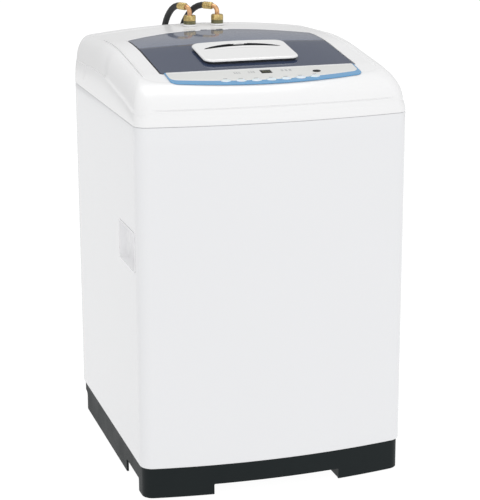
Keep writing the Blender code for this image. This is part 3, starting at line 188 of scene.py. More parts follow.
# Drawn or turned metal: long fine scratches along one axis
def makeBrushedGroup():
    group, given, out = newGroup(
        "brushed_metal",
        [("Colour", "Color", (0.6, 0.6, 0.6, 1)), ("Contrast", "Float", 0.15), ("Roughness", "Float", 0.3),
         ("Stretch", "Vector", (400.0, 8.0, 400.0)), ("Tarnish", "Float", 0.0),
         ("Tarnish Colour", "Color", (0.2, 0.12, 0.05, 1))],
        [("Colour", "Color"), ("Roughness", "Float"), ("Height", "Float")],
    )
    tree = group
    where = addNode(tree, "TexCoord").outputs["Object"]
    stretched = addNode(tree, "VectorMath", operation="MULTIPLY")
    tree.links.new(where, stretched.inputs[0])
    tree.links.new(given.outputs["Stretch"], stretched.inputs[1])
    lines = addNode(tree, "TexNoise", Scale=1.0, Detail=3.0)
    tree.links.new(stretched.outputs[0], lines.inputs["Vector"])
    spots = addNode(tree, "TexNoise", Scale=95.0, Detail=5.0, Roughness=0.65)
    tree.links.new(where, spots.inputs["Vector"])
    streak = remap(tree, lines.outputs["Fac"], 0.3, 0.7, -0.5, 0.5)
    value = addNode(tree, "Math", operation="MULTIPLY_ADD")
    tree.links.new(streak, value.inputs[0])
    tree.links.new(given.outputs["Contrast"], value.inputs[1])
    value.inputs[2].default_value = 1.0
    shade = addNode(tree, "HueSaturation")
    tree.links.new(given.outputs["Colour"], shade.inputs["Color"])
    tree.links.new(value.outputs[0], shade.inputs["Value"])
    stain = addNode(tree, "Math", operation="MULTIPLY")
    tree.links.new(remap(tree, spots.outputs["Fac"], 0.42, 0.66, 0.0, 1.0), stain.inputs[0])
    tree.links.new(given.outputs["Tarnish"], stain.inputs[1])
    stained = mixColour(tree, stain.outputs[0], shade.outputs[0], given.outputs["Tarnish Colour"])
    tree.links.new(stained, out.inputs["Colour"])
    rough = addNode(tree, "Math", operation="MULTIPLY_ADD")
    tree.links.new(streak, rough.inputs[0])
    rough.inputs[1].default_value = 0.12
    tree.links.new(given.outputs["Roughness"], rough.inputs[2])
    more = addNode(tree, "Math", operation="MULTIPLY_ADD")
    tree.links.new(stain.outputs[0], more.inputs[0])
    more.inputs[1].default_value = 0.25
    tree.links.new(rough.outputs[0], more.inputs[2])
    tree.links.new(more.outputs[0], out.inputs["Roughness"])
    tree.links.new(lines.outputs["Fac"], out.inputs["Height"])
    return group


finishGroup = makeFinishGroup()
brushedGroup = makeBrushedGroup()


# A material: a shared group for the pattern, and the shader's own plain values
def surface(name, group, settings, bump=0.0, bumpDistance=0.001, **principled):
    made = bpy.data.materials.new(name)
    made.use_nodes = True
    tree = made.node_tree
    shader = tree.nodes["Principled BSDF"]
    pattern = tree.nodes.new("ShaderNodeGroup")
    pattern.node_tree = group
    for key, value in settings.items():
        pattern.inputs[key].default_value = value
    tree.links.new(pattern.outputs["Colour"], shader.inputs["Base Color"])
    if settings.get("Smears", 1):
        tree.links.new(pattern.outputs["Roughness"], shader.inputs["Roughness"])
    else:
        shader.inputs["Roughness"].default_value = settings["Roughness"]  # the same all over
    if bump:
        relief = addNode(tree, "Bump", Strength=bump, Distance=bumpDistance)
        tree.links.new(pattern.outputs["Height"], relief.inputs["Height"])
        tree.links.new(relief.outputs[0], shader.inputs["Normal"])
    for key, value in principled.items():
        shader.inputs[key.replace("_", " ")].default_value = value
    return made


def plastic(name, colour, roughness, drift=0.03, smears=0.06, grain=0.0, grainScale=900.0,
            peel=0.0, peelScale=180.0, **more):
    settings = {"Colour": (*colour, 1), "Drift": drift, "Roughness": roughness, "Smears": smears,
                "Grain": grain, "Grain Scale": grainScale, "Peel": peel, "Peel Scale": peelScale}
    return surface(name, finishGroup, settings, 0.5 if grain or peel else 0.0, 0.0004, **more)


def metal(name, colour, roughness, contrast, stretch=(400.0, 400.0, 8.0), tarnish=0.0, tarnishColour=(0.2, 0.12, 0.05)):
    settings = {"Colour": (*colour, 1), "Contrast": contrast, "Roughness": roughness, "Stretch": stretch,
                "Tarnish": tarnish, "Tarnish Colour": (*tarnishColour, 1)}
    return surface(name, brushedGroup, settings, 0.12, 0.0003, Metallic=1.0)


look = {
    "enamel": plastic("white_enamel", (0.79, 0.795, 0.81), 0.20, 0.010, 0.0, peel=0.15, peelScale=120,
                      Coat_Weight=0.35, Coat_Roughness=0.06),
    "cover": plastic("white_cover_plastic", (0.85, 0.85, 0.855), 0.27, 0.010, 0.0, Coat_Weight=0.2, Coat_Roughness=0.1),
    "white": plastic("white_gloss_plastic", (0.84, 0.84, 0.84), 0.16, 0.01, 0.0, Coat_Weight=0.5, Coat_Roughness=0.04),
    # Whiter than the enamel: painted light filling the grip pockets
    "grip": plastic("white_grip_painted_light", (0.88, 0.88, 0.89), 0.3, 0.01, 0.0),
    "satin": plastic("white_satin_plastic", (0.70, 0.71, 0.72), 0.42, 0.03, 0.08, grain=0.5, grainScale=1100),
    "black": plastic("black_textured_plastic", (0.0035, 0.0075, 0.0085), 0.5, 0.2, 0.08, grain=0.4,
                     grainScale=1300, Specular_IOR_Level=0.22),
    "grey": plastic("grey_tub_plastic", (0.36, 0.37, 0.38), 0.45, 0.06, 0.1, grain=0.5, grainScale=900),
    "silver": plastic("silver_panel_film", (0.74, 0.745, 0.73), 0.32, 0.02, 0.03, grain=0.2, grainScale=1900,
                      Metallic=0.2, Coat_Weight=0.3, Coat_Roughness=0.1),
    "blue": plastic("blue_trim_plastic", (0.10, 0.315, 0.57), 0.22, 0.05, 0.06, Coat_Weight=0.6, Coat_Roughness=0.05),
    "display": plastic("display_glass", (0.006, 0.007, 0.006), 0.12, 0.05, 0.05, Specular_IOR_Level=0.12),
    "digit": plastic("olive_segments", (0.13, 0.14, 0.05), 0.4),
    "button": plastic("button_plastic", (0.74, 0.79, 0.84), 0.2, 0.02, 0.05, Coat_Weight=0.6,
                      Coat_Roughness=0.05, Subsurface_Weight=0.15),
    "mark": plastic("grey_panel_print", (0.16, 0.17, 0.19), 0.4),
    "rubber": plastic("black_hose_rubber", (0.012, 0.013, 0.014), 0.5, 0.25, 0.15, grain=1.0, grainScale=700),
    "board": plastic("green_circuit_board", (0.02, 0.12, 0.05), 0.4, 0.2),
    "steel": metal("drawn_steel", (0.60, 0.61, 0.63), 0.26, 0.12),
    "zinc": metal("zinc_plate", (0.46, 0.47, 0.49), 0.38, 0.2, (160.0, 160.0, 160.0), 0.35, (0.30, 0.29, 0.27)),
    "cast": metal("cast_aluminium", (0.50, 0.51, 0.52), 0.5, 0.25, (300.0, 300.0, 300.0), 0.3, (0.25, 0.25, 0.25)),
    # Darker brass for the swivel nut's lower skirt: painted shade below its lit top
    "nutSkirt": metal("brass_skirt_painted_shade", (0.20, 0.19, 0.11), 0.32, 0.3, (260.0, 260.0, 260.0), 0.6, (0.05, 0.05, 0.03)),
    "brass": metal("brass_fitting", (0.62, 0.47, 0.20), 0.22, 0.25, (260.0, 260.0, 260.0), 0.55, (0.16, 0.13, 0.05)),
    "copper": metal("copper_tail", (0.72, 0.42, 0.22), 0.2, 0.2, (260.0, 260.0, 60.0), 0.45, (0.20, 0.09, 0.04)),
}


def tintedPane(name, colour, alpha):
    made = plastic(name, colour, 0.06, 0.05, 0.03, Alpha=alpha)
    made.use_transparency_overlap = True
    return made


look["pane"] = tintedPane("smoke_blue_pane", (0.045, 0.062, 0.115), 0.84)
# The rear leaf is tinted lighter than the front: a painted reflection of the room on its gloss
look["rearPane"] = tintedPane("smoke_blue_pane_painted_reflection", (0.215, 0.24, 0.31), 0.80)
# Near-black for the handle's cup, slot and lower side wall: painted shade
look["cup"] = plastic("handle_recess_painted_shade", (0.012, 0.014, 0.018), 0.35, 0.1)
# Near-black for the panes' edge faces: painted shade of the gap round the lid; the fold barrels use it too
look["paneEdge"] = plastic("pane_edge_painted_shade", (0.008, 0.012, 0.025), 0.12, Coat_Weight=0.5)
print("materials ready")


# Modelling helpers
def deselectAll():
    if bpy.context.object and bpy.context.object.mode != "OBJECT":
        bpy.ops.object.mode_set(mode="OBJECT")
    bpy.ops.object.select_all(action="DESELECT")


def choose(piece):
    deselectAll()
    piece.select_set(True)
    bpy.context.view_layer.objects.active = piece


# Extrudes a ring of edges from outline to outline; a closed one ends on the ring that it starts from
def loft(name, rings, closed=False):
    deselectAll()
    bpy.ops.mesh.primitive_circle_add(vertices=len(rings[0]), radius=1)
    piece = bpy.context.object
    piece.name = piece.data.name = name
    for vertex, point in zip(piece.data.vertices, rings[0]):
        vertex.co = point
    bpy.ops.object.mode_set(mode="EDIT")
    bpy.ops.mesh.select_all(action="SELECT")
    for ring in rings[1:] + (rings[:1] if closed else []):
        bpy.ops.mesh.extrude_edges_move()
        shell = bmesh.from_edit_mesh(piece.data)
        for vertex, point in zip([v for v in shell.verts if v.select], ring):
            vertex.co = point
    bpy.ops.mesh.select_all(action="SELECT")
    bpy.ops.mesh.remove_doubles(threshold=1e-6)
    if not closed:
        bpy.ops.mesh.select_all(action="SELECT")
        bpy.ops.mesh.fill_holes(sides=0)
    bpy.ops.mesh.select_all(action="SELECT")
    bpy.ops.mesh.normals_make_consistent(inside=False)
    bpy.ops.object.mode_set(mode="OBJECT")
    return piece


# A turned piece about an upright axis from (radius, height) points; shape(radius, z, angle) may change each point
def turned(name, profile, centre=(0, 0), steps=64, closed=False, shape=None):
    rings = []
    for radius, z in profile:
        ring = []
        for k in range(steps):
            angle = 2 * math.pi * k / steps
            r, h = shape(radius, z, angle) if shape else (radius, z)
            ring.append((centre[0] + r * math.cos(angle), centre[1] + r * math.sin(angle), h))
        rings.append(ring)
    return loft(name, rings, closed)


# Turns a piece made upright at the origin to point along a direction, and moves it to a place
def laid(piece, place, direction):
    choose(piece)
    turn = Vector(direction).to_track_quat("Z", "Y").to_matrix().to_4x4()
    piece.matrix_world = Matrix.Translation(place) @ turn
    bpy.ops.object.transform_apply(location=True, rotation=True, scale=True)
    return piece


def applyAll(piece):
    choose(piece)
    for modifier in list(piece.modifiers):
        bpy.ops.object.modifier_apply(modifier=modifier.name)
    return piece


def soften(piece, width, segments=3, angle=35):
    bevel = piece.modifiers.new("rounded edges", "BEVEL")
    bevel.width, bevel.segments = width, segments
    bevel.limit_method = "ANGLE"
    bevel.angle_limit = math.radians(angle)
    bevel.use_clamp_overlap = True
    return applyAll(piece)


def combine(piece, others, operation="DIFFERENCE"):
    for other in others:
        step = piece.modifiers.new("boolean", "BOOLEAN")
        step.operation, step.object, step.solver = operation, other, "EXACT"
        applyAll(piece)
        bpy.data.objects.remove(other)
    return piece


# An upright prism; low and high are heights or functions of x and y
def prism(name, outline, low, high):
    rings = []
    for height in (low, high):
        rings.append([(x, y, height(x, y) if callable(height) else height) for x, y in outline])
    return loft(name, rings)


def block(name, low, high):
    deselectAll()
    middle = [(a + b) / 2 for a, b in zip(low, high)]
    bpy.ops.mesh.primitive_cube_add(size=1, location=middle, scale=[b - a for a, b in zip(low, high)])
    piece = bpy.context.object
    piece.name = piece.data.name = name
    bpy.ops.object.transform_apply(location=True, rotation=True, scale=True)
    return piece


def rod(name, start, end, radius, steps=32):
    start, end = Vector(start), Vector(end)
    piece = turned(name, [(radius, 0), (radius, (end - start).length)], steps=steps)
    return laid(piece, start, end - start)


# Joins pieces that belong to one part into one object
def together(name, pieces):
    choose(pieces[0])
    for piece in pieces:
        piece.select_set(True)
    bpy.ops.object.join()
    piece = bpy.context.object
    piece.name = piece.data.name = name
    return piece


# Gives a finished piece its look, its body, and the CAD nodes that it stands for
def place(piece, finish, body, stands=(), smooth=32):
    choose(piece)
    bpy.ops.object.shade_smooth_by_angle(angle=math.radians(smooth))
    if not piece.data.materials:
        piece.data.materials.append(look[finish])
    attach(piece, body)
    if stands:
        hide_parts(*stands)
    return piece


# Plan outline, anticlockwise from the front left corner, whose front and rear edges bow outwards
def bowed(half, front, rear, frontSag, rearSag, frontCorner, rearCorner, steps=(14, 56, 32, 30, 6)):
    corner, across, back, side, rearTurn = steps

    def bow(sag, radius):
        sag = max(sag, 2e-4)
        bend = (half**2 + sag**2) / (2 * sag)
        reach = half - radius
        return sag, bend, math.sqrt((bend - radius) ** 2 - reach**2), math.asin(reach / (bend - radius))

    frontSag, frontBend, frontReach, frontAngle = bow(frontSag, frontCorner)
    rearSag, rearBend, rearReach, rearAngle = bow(rearSag, rearCorner)
    frontCentre, rearCentre = front - frontSag + frontBend, rear + rearSag - rearBend
    down, up = -math.pi / 2, math.pi / 2

    def arc(cx, cy, radius, start, end, count, inner=False):
        shown = range(1, count) if inner else range(count + 1)
        return [(cx + radius * math.cos(start + (end - start) * k / count),
                 cy + radius * math.sin(start + (end - start) * k / count)) for k in shown]

    def straight(start, end):
        return [tuple(a + (b - a) * k / side for a, b in zip(start, end)) for k in range(1, side)]

    frontX, rearX = half - frontCorner, half - rearCorner
    frontY, rearY = frontCentre - frontReach, rearCentre + rearReach
    frontLeft = arc(-frontX, frontY, frontCorner, -math.pi, down - frontAngle, corner)
    frontEdge = arc(0, frontCentre, frontBend, down - frontAngle, down + frontAngle, across, True)
    frontRight = arc(frontX, frontY, frontCorner, down + frontAngle, 0, corner)
    rearRight = arc(rearX, rearY, rearCorner, 0, up - rearAngle, rearTurn)
    rearEdge = arc(0, rearCentre, rearBend, up - rearAngle, up + rearAngle, back, True)
    rearLeft = arc(-rearX, rearY, rearCorner, up + rearAngle, math.pi, rearTurn)
    return (frontLeft + frontEdge + frontRight + straight(frontRight[-1], rearRight[0]) + rearRight + rearEdge
            + rearLeft + straight(rearLeft[-1], frontLeft[0]))


def flat(outline, height):
    return [(x, y, height) for x, y in outline]


def blendOutlines(first, second, share):
    return [(a[0] + (b[0] - a[0]) * share, a[1] + (b[1] - a[1]) * share) for a, b in zip(first, second)]


def blendRings(first, second, share):
    return [tuple(a + (b - a) * share for a, b in zip(p, q)) for p, q in zip(first, second)]


# 0 below low, 1 above high, smooth between
def fade(value, low, high):
    t = min(max((value - low) / (high - low), 0), 1)
    return t * t * (3 - 2 * t)


def evenly(low, high, count):
    return [low + (high - low) * k / count for k in range(count + 1)]


# Values of x from -half to half, closer together over the rounded ends
def roundEnds(half, radius, count):
    turn = [radius * (1 - math.cos(math.pi / 2 * k / 6)) for k in range(6)]
    return [-half + t for t in turn] + evenly(-half + radius, half - radius, count) + [half - t for t in reversed(turn)]


# A plate that follows the deck: front and rear are functions of x, low and high of x and y
def strip(name, xs, front, rear, low, high, across=8, edge=0.0008):
    rings = []
    for x in xs:
        ys = evenly(front(x), rear(x), across)
        rings.append([(x, y, high(x, y)) for y in ys] + [(x, y, low(x, y)) for y in reversed(ys)])
    piece = loft(name, rings)
    return soften(piece, edge, 3, 40) if edge else piece


# A round piece along a path, its radius given at each point
def tube(name, path, radii, steps=24):
    path = [Vector(p) for p in path]
    side, rings = None, []
    for k, point in enumerate(path):
        along = (path[min(k + 1, len(path) - 1)] - path[max(k - 1, 0)]).normalized()
        side = along.orthogonal() if side is None else side - along * side.dot(along)
        side.normalize()
        other = along.cross(side)
        turns = [2 * math.pi * n / steps for n in range(steps)]
        rings.append([point + (side * math.cos(a) + other * math.sin(a)) * radii[k] for a in turns])
    return loft(name, rings)


# Floor
deselectAll()
bpy.ops.mesh.primitive_plane_add(size=14, location=(0, 0, 0))
floor = bpy.context.object
floor.name = "studio_floor"
floorPaint = bpy.data.materials.new("studio_white")
floorPaint.use_nodes = True
floorShader = floorPaint.node_tree.nodes["Principled BSDF"]
floorShader.inputs["Base Color"].default_value = (0.12, 0.12, 0.12, 1)
floorShader.inputs["Roughness"].default_value = 0.9
floorShader.inputs["Specular IOR Level"].default_value = 0.0
floorShader.inputs["Emission Color"].default_value = (1, 1, 1, 1)
floorRays = floorPaint.node_tree.nodes.new("ShaderNodeLightPath")
floorGlow = floorPaint.node_tree.nodes.new("ShaderNodeMapRange")
floorGlow.inputs["To Min"].default_value = studio["floorGlow"]
floorGlow.inputs["To Max"].default_value = studio["floorShown"]
floorPaint.node_tree.links.new(floorRays.outputs["Is Camera Ray"], floorGlow.inputs["Value"])
floorPaint.node_tree.links.new(floorGlow.outputs[0], floorShader.inputs["Emission Strength"])
floor.data.materials.append(floorPaint)

# Inlet hoses
hoses = {
    "radius": 0.0075, "joint": 0.0003, "portY": 0.2634, "elbowHeight": 0.997, "bend": 0.013, "ferrule": 0.024,
    "spacing": 0.0125, "lobes": 8, "lobeStart": 0.0127, "lobeDepth": 0.0012,
    "nut": [
        (0.0122, 0.9572), (0.0146, 0.9572), (0.0150, 0.9577), (0.0150, 0.9640), (0.0146, 0.9645), (0.0146, 0.9652),
        (0.0150, 0.9657), (0.0150, 0.9752), (0.0146, 0.9766), (0.0138, 0.9776), (0.0128, 0.9782), (0.0059, 0.9782),
        (0.0059, 0.9737), (0.0122, 0.9737)],
    "skirtTop": 0.9650, "tail": 0.0055, "tailFoot": 0.9702,
    "tailFlange": [(0, 0.0040), (0.0003, 0.0098), (0.0028, 0.0098), (0.0029, 0.0055)],
    "crimpStart": [(0.0, 0.0052), (0.0003, 0.0066), (0.0012, 0.0074), (0.0021, 0.0080), (0.0032, 0.0087), (0.0042, 0.0088)],
    "crimpRing": [(0.0, 0.0088), (0.0008, 0.0081), (0.0024, 0.0079), (0.0032, 0.0081), (0.0040, 0.0088)],
    "crimpEnd": [(0.0240, 0.0088), (0.0257, 0.0088), (0.0261, 0.0084), (0.0261, 0.0040)],
    "crimpFirst": 0.0055, "crimpPitch": 0.0058,
    "farSleeve": [
        (0, 0.0070), (0.0004, 0.0088), (0.004, 0.0088), (0.005, 0.0081), (0.009, 0.0081), (0.010, 0.0088),
        (0.0155, 0.0088), (0.0160, 0.0070), (0.0178, 0.0070)],
    "farNut": [
        (0.0125, 0.0376), (0.0135, 0.0380), (0.0142, 0.0376), (0.0145, 0.0368), (0.0145, 0.0190), (0.0138, 0.0176),
        (0.0128, 0.0168), (0.0085, 0.0166), (0.0085, 0.0186), (0.0125, 0.0186)],
    "left": {
        "x": -0.031, "heading": (-0.40, 0.917), "length": 1.160,
        "route": [
            (-0.0560, 0.3205, 0.9905), (-0.0640, 0.3405, 0.9700), (-0.0695, 0.3540, 0.9400), (-0.0715, 0.3600, 0.9000),
            (-0.0720, 0.3650, 0.7000), (-0.0720, 0.3780, 0.4500), (-0.0720, 0.3900, 0.2200), (-0.0640, 0.3930, 0.1000),
            (-0.0400, 0.3950, 0.0400), (0.0060, 0.3960, 0.0120), (0.0560, 0.3970, 0.0100), (0.0900, 0.3980, 0.0148),
            (0.1120, 0.3990, 0.0150), (0.1180, 0.3992, 0.0150)],
    },
    "right": {
        "x": 0.037, "heading": (-0.60, 0.80), "length": 1.167,
        "route": [
            (-0.0010, 0.3140, 0.9915), (-0.0125, 0.3330, 0.9750), (-0.0225, 0.3485, 0.9500), (-0.0285, 0.3575, 0.9150),
            (-0.0310, 0.3620, 0.8700), (-0.0320, 0.3620, 0.7000), (-0.0320, 0.3600, 0.4500), (-0.0320, 0.3590, 0.2200),
            (-0.0240, 0.3590, 0.1000), (0.0000, 0.3600, 0.0400), (0.0460, 0.3600, 0.0120), (0.0960, 0.3600, 0.0100),
            (0.1300, 0.3600, 0.0148), (0.1520, 0.3600, 0.0150), (0.1580, 0.3600, 0.0150)],
    },
}


# Points at an even spacing on the smooth curve through a route (centripetal Catmull-Rom)
def smoothRoute(route, spacing):
    ends = [route[0] * 2 - route[1]] + route + [route[-1] * 2 - route[-2]]
    fine = []
    for a, b, c, d in zip(ends, ends[1:], ends[2:], ends[3:]):
        times = [0.0]
        for first, second in ((a, b), (b, c), (c, d)):
            times.append(times[-1] + math.sqrt((second - first).length))
        for k in range(24):
            t = times[1] + (times[2] - times[1]) * k / 24
            ab = a.lerp(b, (t - times[0]) / (times[1] - times[0]))
            bc = b.lerp(c, (t - times[1]) / (times[2] - times[1]))
            cd = c.lerp(d, (t - times[2]) / (times[3] - times[2]))
            abc = ab.lerp(bc, (t - times[0]) / (times[2] - times[0]))
            bcd = bc.lerp(cd, (t - times[1]) / (times[3] - times[1]))
            fine.append(abc.lerp(bcd, (t - times[1]) / (times[2] - times[1])))
    fine.append(route[-1])
    lengths = [0.0]
    for first, second in zip(fine, fine[1:]):
        lengths.append(lengths[-1] + (second - first).length)
    count = max(2, round(lengths[-1] / spacing))
    points, at = [], 0
    for k in range(count + 1):
        target = lengths[-1] * k / count
        while at < len(fine) - 2 and lengths[at + 1] < target:
            at += 1
        share = (target - lengths[at]) / (lengths[at + 1] - lengths[at])
        points.append(fine[at].lerp(fine[at + 1], min(share, 1)))
    return points


def lobed(inner, depth):
    def shape(radius, z, angle):
        if radius < inner:
            return radius, z
        return radius - depth * (0.5 - 0.5 * math.cos(hoses["lobes"] * angle)), z
    return shape


for side in ("left", "right"):
    hose = hoses[side]
    x, portY, top, bend = hose["x"], hoses["portY"], hoses["elbowHeight"], hoses["bend"]
    along = Vector((*hose["heading"], 0)).normalized()
    # The swivel nut; its lower skirt gets a darker brass, painted shade under the lit top
    lobes = lobed(hoses["lobeStart"], hoses["lobeDepth"])
    nut = turned("swivel_nut_" + side, hoses["nut"], (x, portY), 96, closed=True, shape=lobes)
    nut.data.materials.append(look["brass"])
    nut.data.materials.append(look["nutSkirt"])
    for face in nut.data.polygons:
        face.material_index = 1 if face.center.z < hoses["skirtTop"] else 0
    place(nut, "brass", "cabinet", ["inlet_nut_" + side])
    # The elbow in one sweep with its crimped ferrule
    bendStart = Vector((x, portY, top - bend))
    path = [Vector((x, portY, hoses["tailFoot"])) + Vector((0, 0, up)) for up, radius in hoses["tailFlange"]] + [bendStart]
    radii = [radius for up, radius in hoses["tailFlange"]] + [hoses["tail"]]
    for k in range(1, 13):
        angle = math.pi / 2 * k / 12
        path.append(bendStart + along * bend * (1 - math.cos(angle)) + Vector((0, 0, bend * math.sin(angle))))
        radii.append(hoses["tail"])
    tail = tube("elbow_leg_" + side, path, radii, 32)
    place(tail, "copper", "cabinet", ["inlet_elbow_" + side])
    bendEnd = path[-1]
    crimp = list(hoses["crimpStart"])
    for ring in range(3):
        crimp += [(hoses["crimpFirst"] + ring * hoses["crimpPitch"] + step, r) for step, r in hoses["crimpRing"]]
    crimp += hoses["crimpEnd"]
    sleeve = tube("ferrule_" + side, [bendEnd + along * reach for reach, r in crimp], [r for reach, r in crimp], 40)
    place(sleeve, "brass", "cabinet")
    # The hose itself
    reach = bend + 0.0021 + hoses["ferrule"] + hoses["joint"]
    stub = [Vector((x, portY, top)) + along * (reach + extra) for extra in (0, 0.006)]
    route = stub + [Vector(p) for p in hose["route"]]
    points = [route[0]] + smoothRoute(route[1:-1], hoses["spacing"]) + [route[-1]]
    line = bpy.data.curves.new("rubber_hose_" + side, "CURVE")
    line.dimensions = "3D"
    line.bevel_depth, line.bevel_resolution, line.use_fill_caps = hoses["radius"], 10, True
    spline = line.splines.new("POLY")
    spline.points.add(len(points) - 1)
    for slot, point in zip(spline.points, points):
        slot.co = (*point, 1)
    spline.use_smooth = True
    tubeShown = bpy.data.objects.new("rubber_hose_" + side, line)
    bpy.context.collection.objects.link(tubeShown)
    line.materials.append(look["rubber"])
    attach(tubeShown, "cabinet")
    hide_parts("inlet_hose_" + side)
    # The coupling at the far end, lying on the floor
    lead = (route[-1] - route[-2]).normalized()
    start = route[-1] + lead * hoses["joint"]
    steps, widths = zip(*hoses["farSleeve"])
    end = tube("coupling_sleeve_" + side, [start + lead * step for step in steps], widths, 40)
    place(end, "brass", "cabinet", ["hose_coupling_" + side])
    farLobes = lobed(hoses["lobeStart"], 0.0011)
    cap = turned("coupling_nut_" + side, hoses["farNut"], (0, 0), 96, closed=True, shape=farLobes)
    laid(cap, start, lead)
    place(cap, "brass", "cabinet")
print("hoses and fittings ready")

# The cabinet
body = {
    "half": 0.3015, "front": -0.2916, "plane": 0.3188, "rear": 0.3204, "bow": 0.0288, "corner": 0.030, "rearCorner": 0.008,
    "bottom": 0.0724, "top": 0.8226, "sheet": 0.0016, "roll": 0.0030, "hanger": 0.778, "hangerRadius": 0.283,
}


def shellLine(inset, rear=body["plane"]):
    return bowed(body["half"] - inset, body["front"] + inset, rear - inset, body["bow"], 0,
                 max(body["corner"] - inset, 0.002), max(body["rearCorner"] - inset, 0.0015))


def circled(outline, radius):
    return [tuple(radius * c / math.hypot(*p) for c in p) for p in outline]


roll, high = body["roll"], body["top"]
rings = [flat(shellLine(roll + 0.004), body["bottom"] + 0.0004), flat(shellLine(roll), body["bottom"])]
for k in range(1, 6):
    turn = math.pi / 2 * k / 5
    rings.append(flat(shellLine(roll * (1 - math.sin(turn))), body["bottom"] + roll * (1 - math.cos(turn))))
rings += [flat(shellLine(0), z) for z in (0.10, 0.20, 0.35, 0.50, 0.65, 0.78, high - 0.0018)]
rings += [flat(shellLine(0.0003), high - 0.0008), flat(shellLine(0.0009), high - 0.0002), flat(shellLine(0.0016), high)]
rings += [flat(shellLine(0.006), high), flat(shellLine(0.006), high - 0.0014), flat(shellLine(0.0016), high - 0.0014)]
inner = shellLine(body["sheet"])
rings += [flat(inner, body["hanger"] + 0.003), flat(circled(inner, body["hangerRadius"]), body["hanger"] + 0.003)]
rings += [flat(circled(inner, body["hangerRadius"]), body["hanger"]), flat(inner, body["hanger"])]
rings += [flat(inner, body["bottom"] + 0.012), flat(shellLine(roll + 0.004), body["bottom"] + 0.0016)]
cabinet = loft("cabinet_shell", rings, closed=True)
combine(cabinet, [block("opening", (-0.250, 0.25, 0.120), (0.250, 0.4, 0.740))])
grip = {"y": -0.192, "halfY": 0.070, "low": 0.508, "high": 0.592, "depth": 0.024, "wall": 0.0025}


def gripBlock(side, grow, name):
    outer = side * (body["half"] + 0.02)
    inside = side * (body["half"] - grip["depth"] - grow)
    low = (min(outer, inside), grip["y"] - grip["halfY"] - grow, grip["low"] - grow)
    piece = block(name, low, (max(outer, inside), grip["y"] + grip["halfY"] + grow, grip["high"] + grow))
    return soften(piece, 0.010 + grow, 5)


for side in (-1, 1):
    combine(cabinet, [gripBlock(side, grip["wall"] + 0.0003, "cut")])
rods = [(x, y) for x in (-0.243, 0.243) for y in (-0.238, 0.243)]
for x, y in rods:
    combine(cabinet, [rod("cut", (x, y, 0.76), (x, y, 0.79), 0.0062)])
place(cabinet, "enamel", "cabinet", ["cabinet_wrap"])
for side, word in ((-1, "left"), (1, "right")):
    cup = gripBlock(side, grip["wall"], "grip_cup_" + word)
    face = side * (body["half"] + 0.0012)
    far = side * 0.4
    combine(cup, [block("cut", (min(face, far), -0.4, 0.4), (max(face, far), 0.1, 0.7))])
    pocket = gripBlock(side, 0, "cut")
    combine(cup, [pocket])
    place(cup, "grip", "cabinet", ["side_grip_" + word])

# The back panel, with pressed ribs and the holes for the drain and the power cord
back = {
    "half": 0.262, "low": 0.108, "high": 0.752, "ribHalf": 0.20, "ribHeight": 0.022, "ribFront": 0.3172, "ribRear": 0.3195,
    "ribs": {0.26: "DIFFERENCE", 0.40: "UNION", 0.54: "DIFFERENCE", 0.66: "UNION"}, "holes": {0.150: 0.021, -0.200: 0.010},
    "holeHeight": 0.165,
}
backFront = body["plane"] + 0.0004
rearPanel = block("rear_panel", (-back["half"], backFront, back["low"]), (back["half"], body["rear"], back["high"]))
for z, operation in back["ribs"].items():
    rib = block("rib", (-back["ribHalf"], back["ribFront"], z), (back["ribHalf"], back["ribRear"], z + back["ribHeight"]))
    combine(rearPanel, [soften(rib, 0.0010, 2)], operation)
for x, radius in back["holes"].items():
    combine(rearPanel, [rod("cut", (x, 0.29, back["holeHeight"]), (x, 0.34, back["holeHeight"]), radius)])
place(rearPanel, "enamel", "cabinet", ["back_panel"])
print("cabinet ready")

# The base
skirt = {
    "inset": 0.004, "low": 0.003, "high": 0.0720, "flangeLow": 0.056, "flangeHigh": 0.061, "flange": 0.080, "wall": 0.005,
    "frontNotch": [(-0.1445, -0.01), (-0.1445, 0.0255), (-0.143, 0.027), (0.143, 0.027), (0.1445, 0.0255), (0.1445, -0.01)],
    "sideNotch": [(-0.240, -0.01), (-0.240, 0.030), (-0.237, 0.033), (-0.128, 0.033), (-0.125, 0.030), (-0.125, -0.01)],
    "rearCut": [
        (0.37, -0.01), (0.2934, -0.01), (0.2934, 0.040), (0.29555, 0.0445), (0.30015, 0.047), (0.306, 0.0488),
        (0.315, 0.050), (0.37, 0.050)],
    "ribsX": (-0.1496, 0.1446), "ribWidth": 0.005, "ribFront": -0.3060, "ribRear": -0.235, "ribHigh": 0.058,
    "footHole": 0.0054,
}
feet = {
    "front_left": (-0.259, -0.232), "front_right": (0.259, -0.232),
    "rear_left": (-0.259, 0.262), "rear_right": (0.259, 0.262),
}
outer, chamfer, inner, flange = [shellLine(skirt["inset"] + inset) for inset in (0.0, 0.0008, skirt["wall"], skirt["flange"])]
rings = [flat(chamfer, skirt["low"])] + [flat(outer, z) for z in (0.0038, 0.040, 0.0712)] + [flat(chamfer, skirt["high"])]
rings += [flat(inner, skirt["high"]), flat(inner, skirt["flangeHigh"]), flat(flange, skirt["flangeHigh"])]
rings += [flat(flange, skirt["flangeLow"]), flat(inner, skirt["flangeLow"]), flat(inner, skirt["low"])]
base = loft("base_moulding", rings, closed=True)
notches = [loft("cut", [[(x, y, z) for x, z in skirt["frontNotch"]] for y in ends]) for ends in ((-0.4, 0), (0.1, 0.4))]
for line in (skirt["sideNotch"], skirt["rearCut"]):
    notches.append(loft("cut", [[(x, y, z) for y, z in line] for x in (-0.4, 0.4)]))
notches += [rod("cut", (x, y, 0.05), (x, y, 0.07), skirt["footHole"]) for x, y in feet.values()]
combine(base, notches)
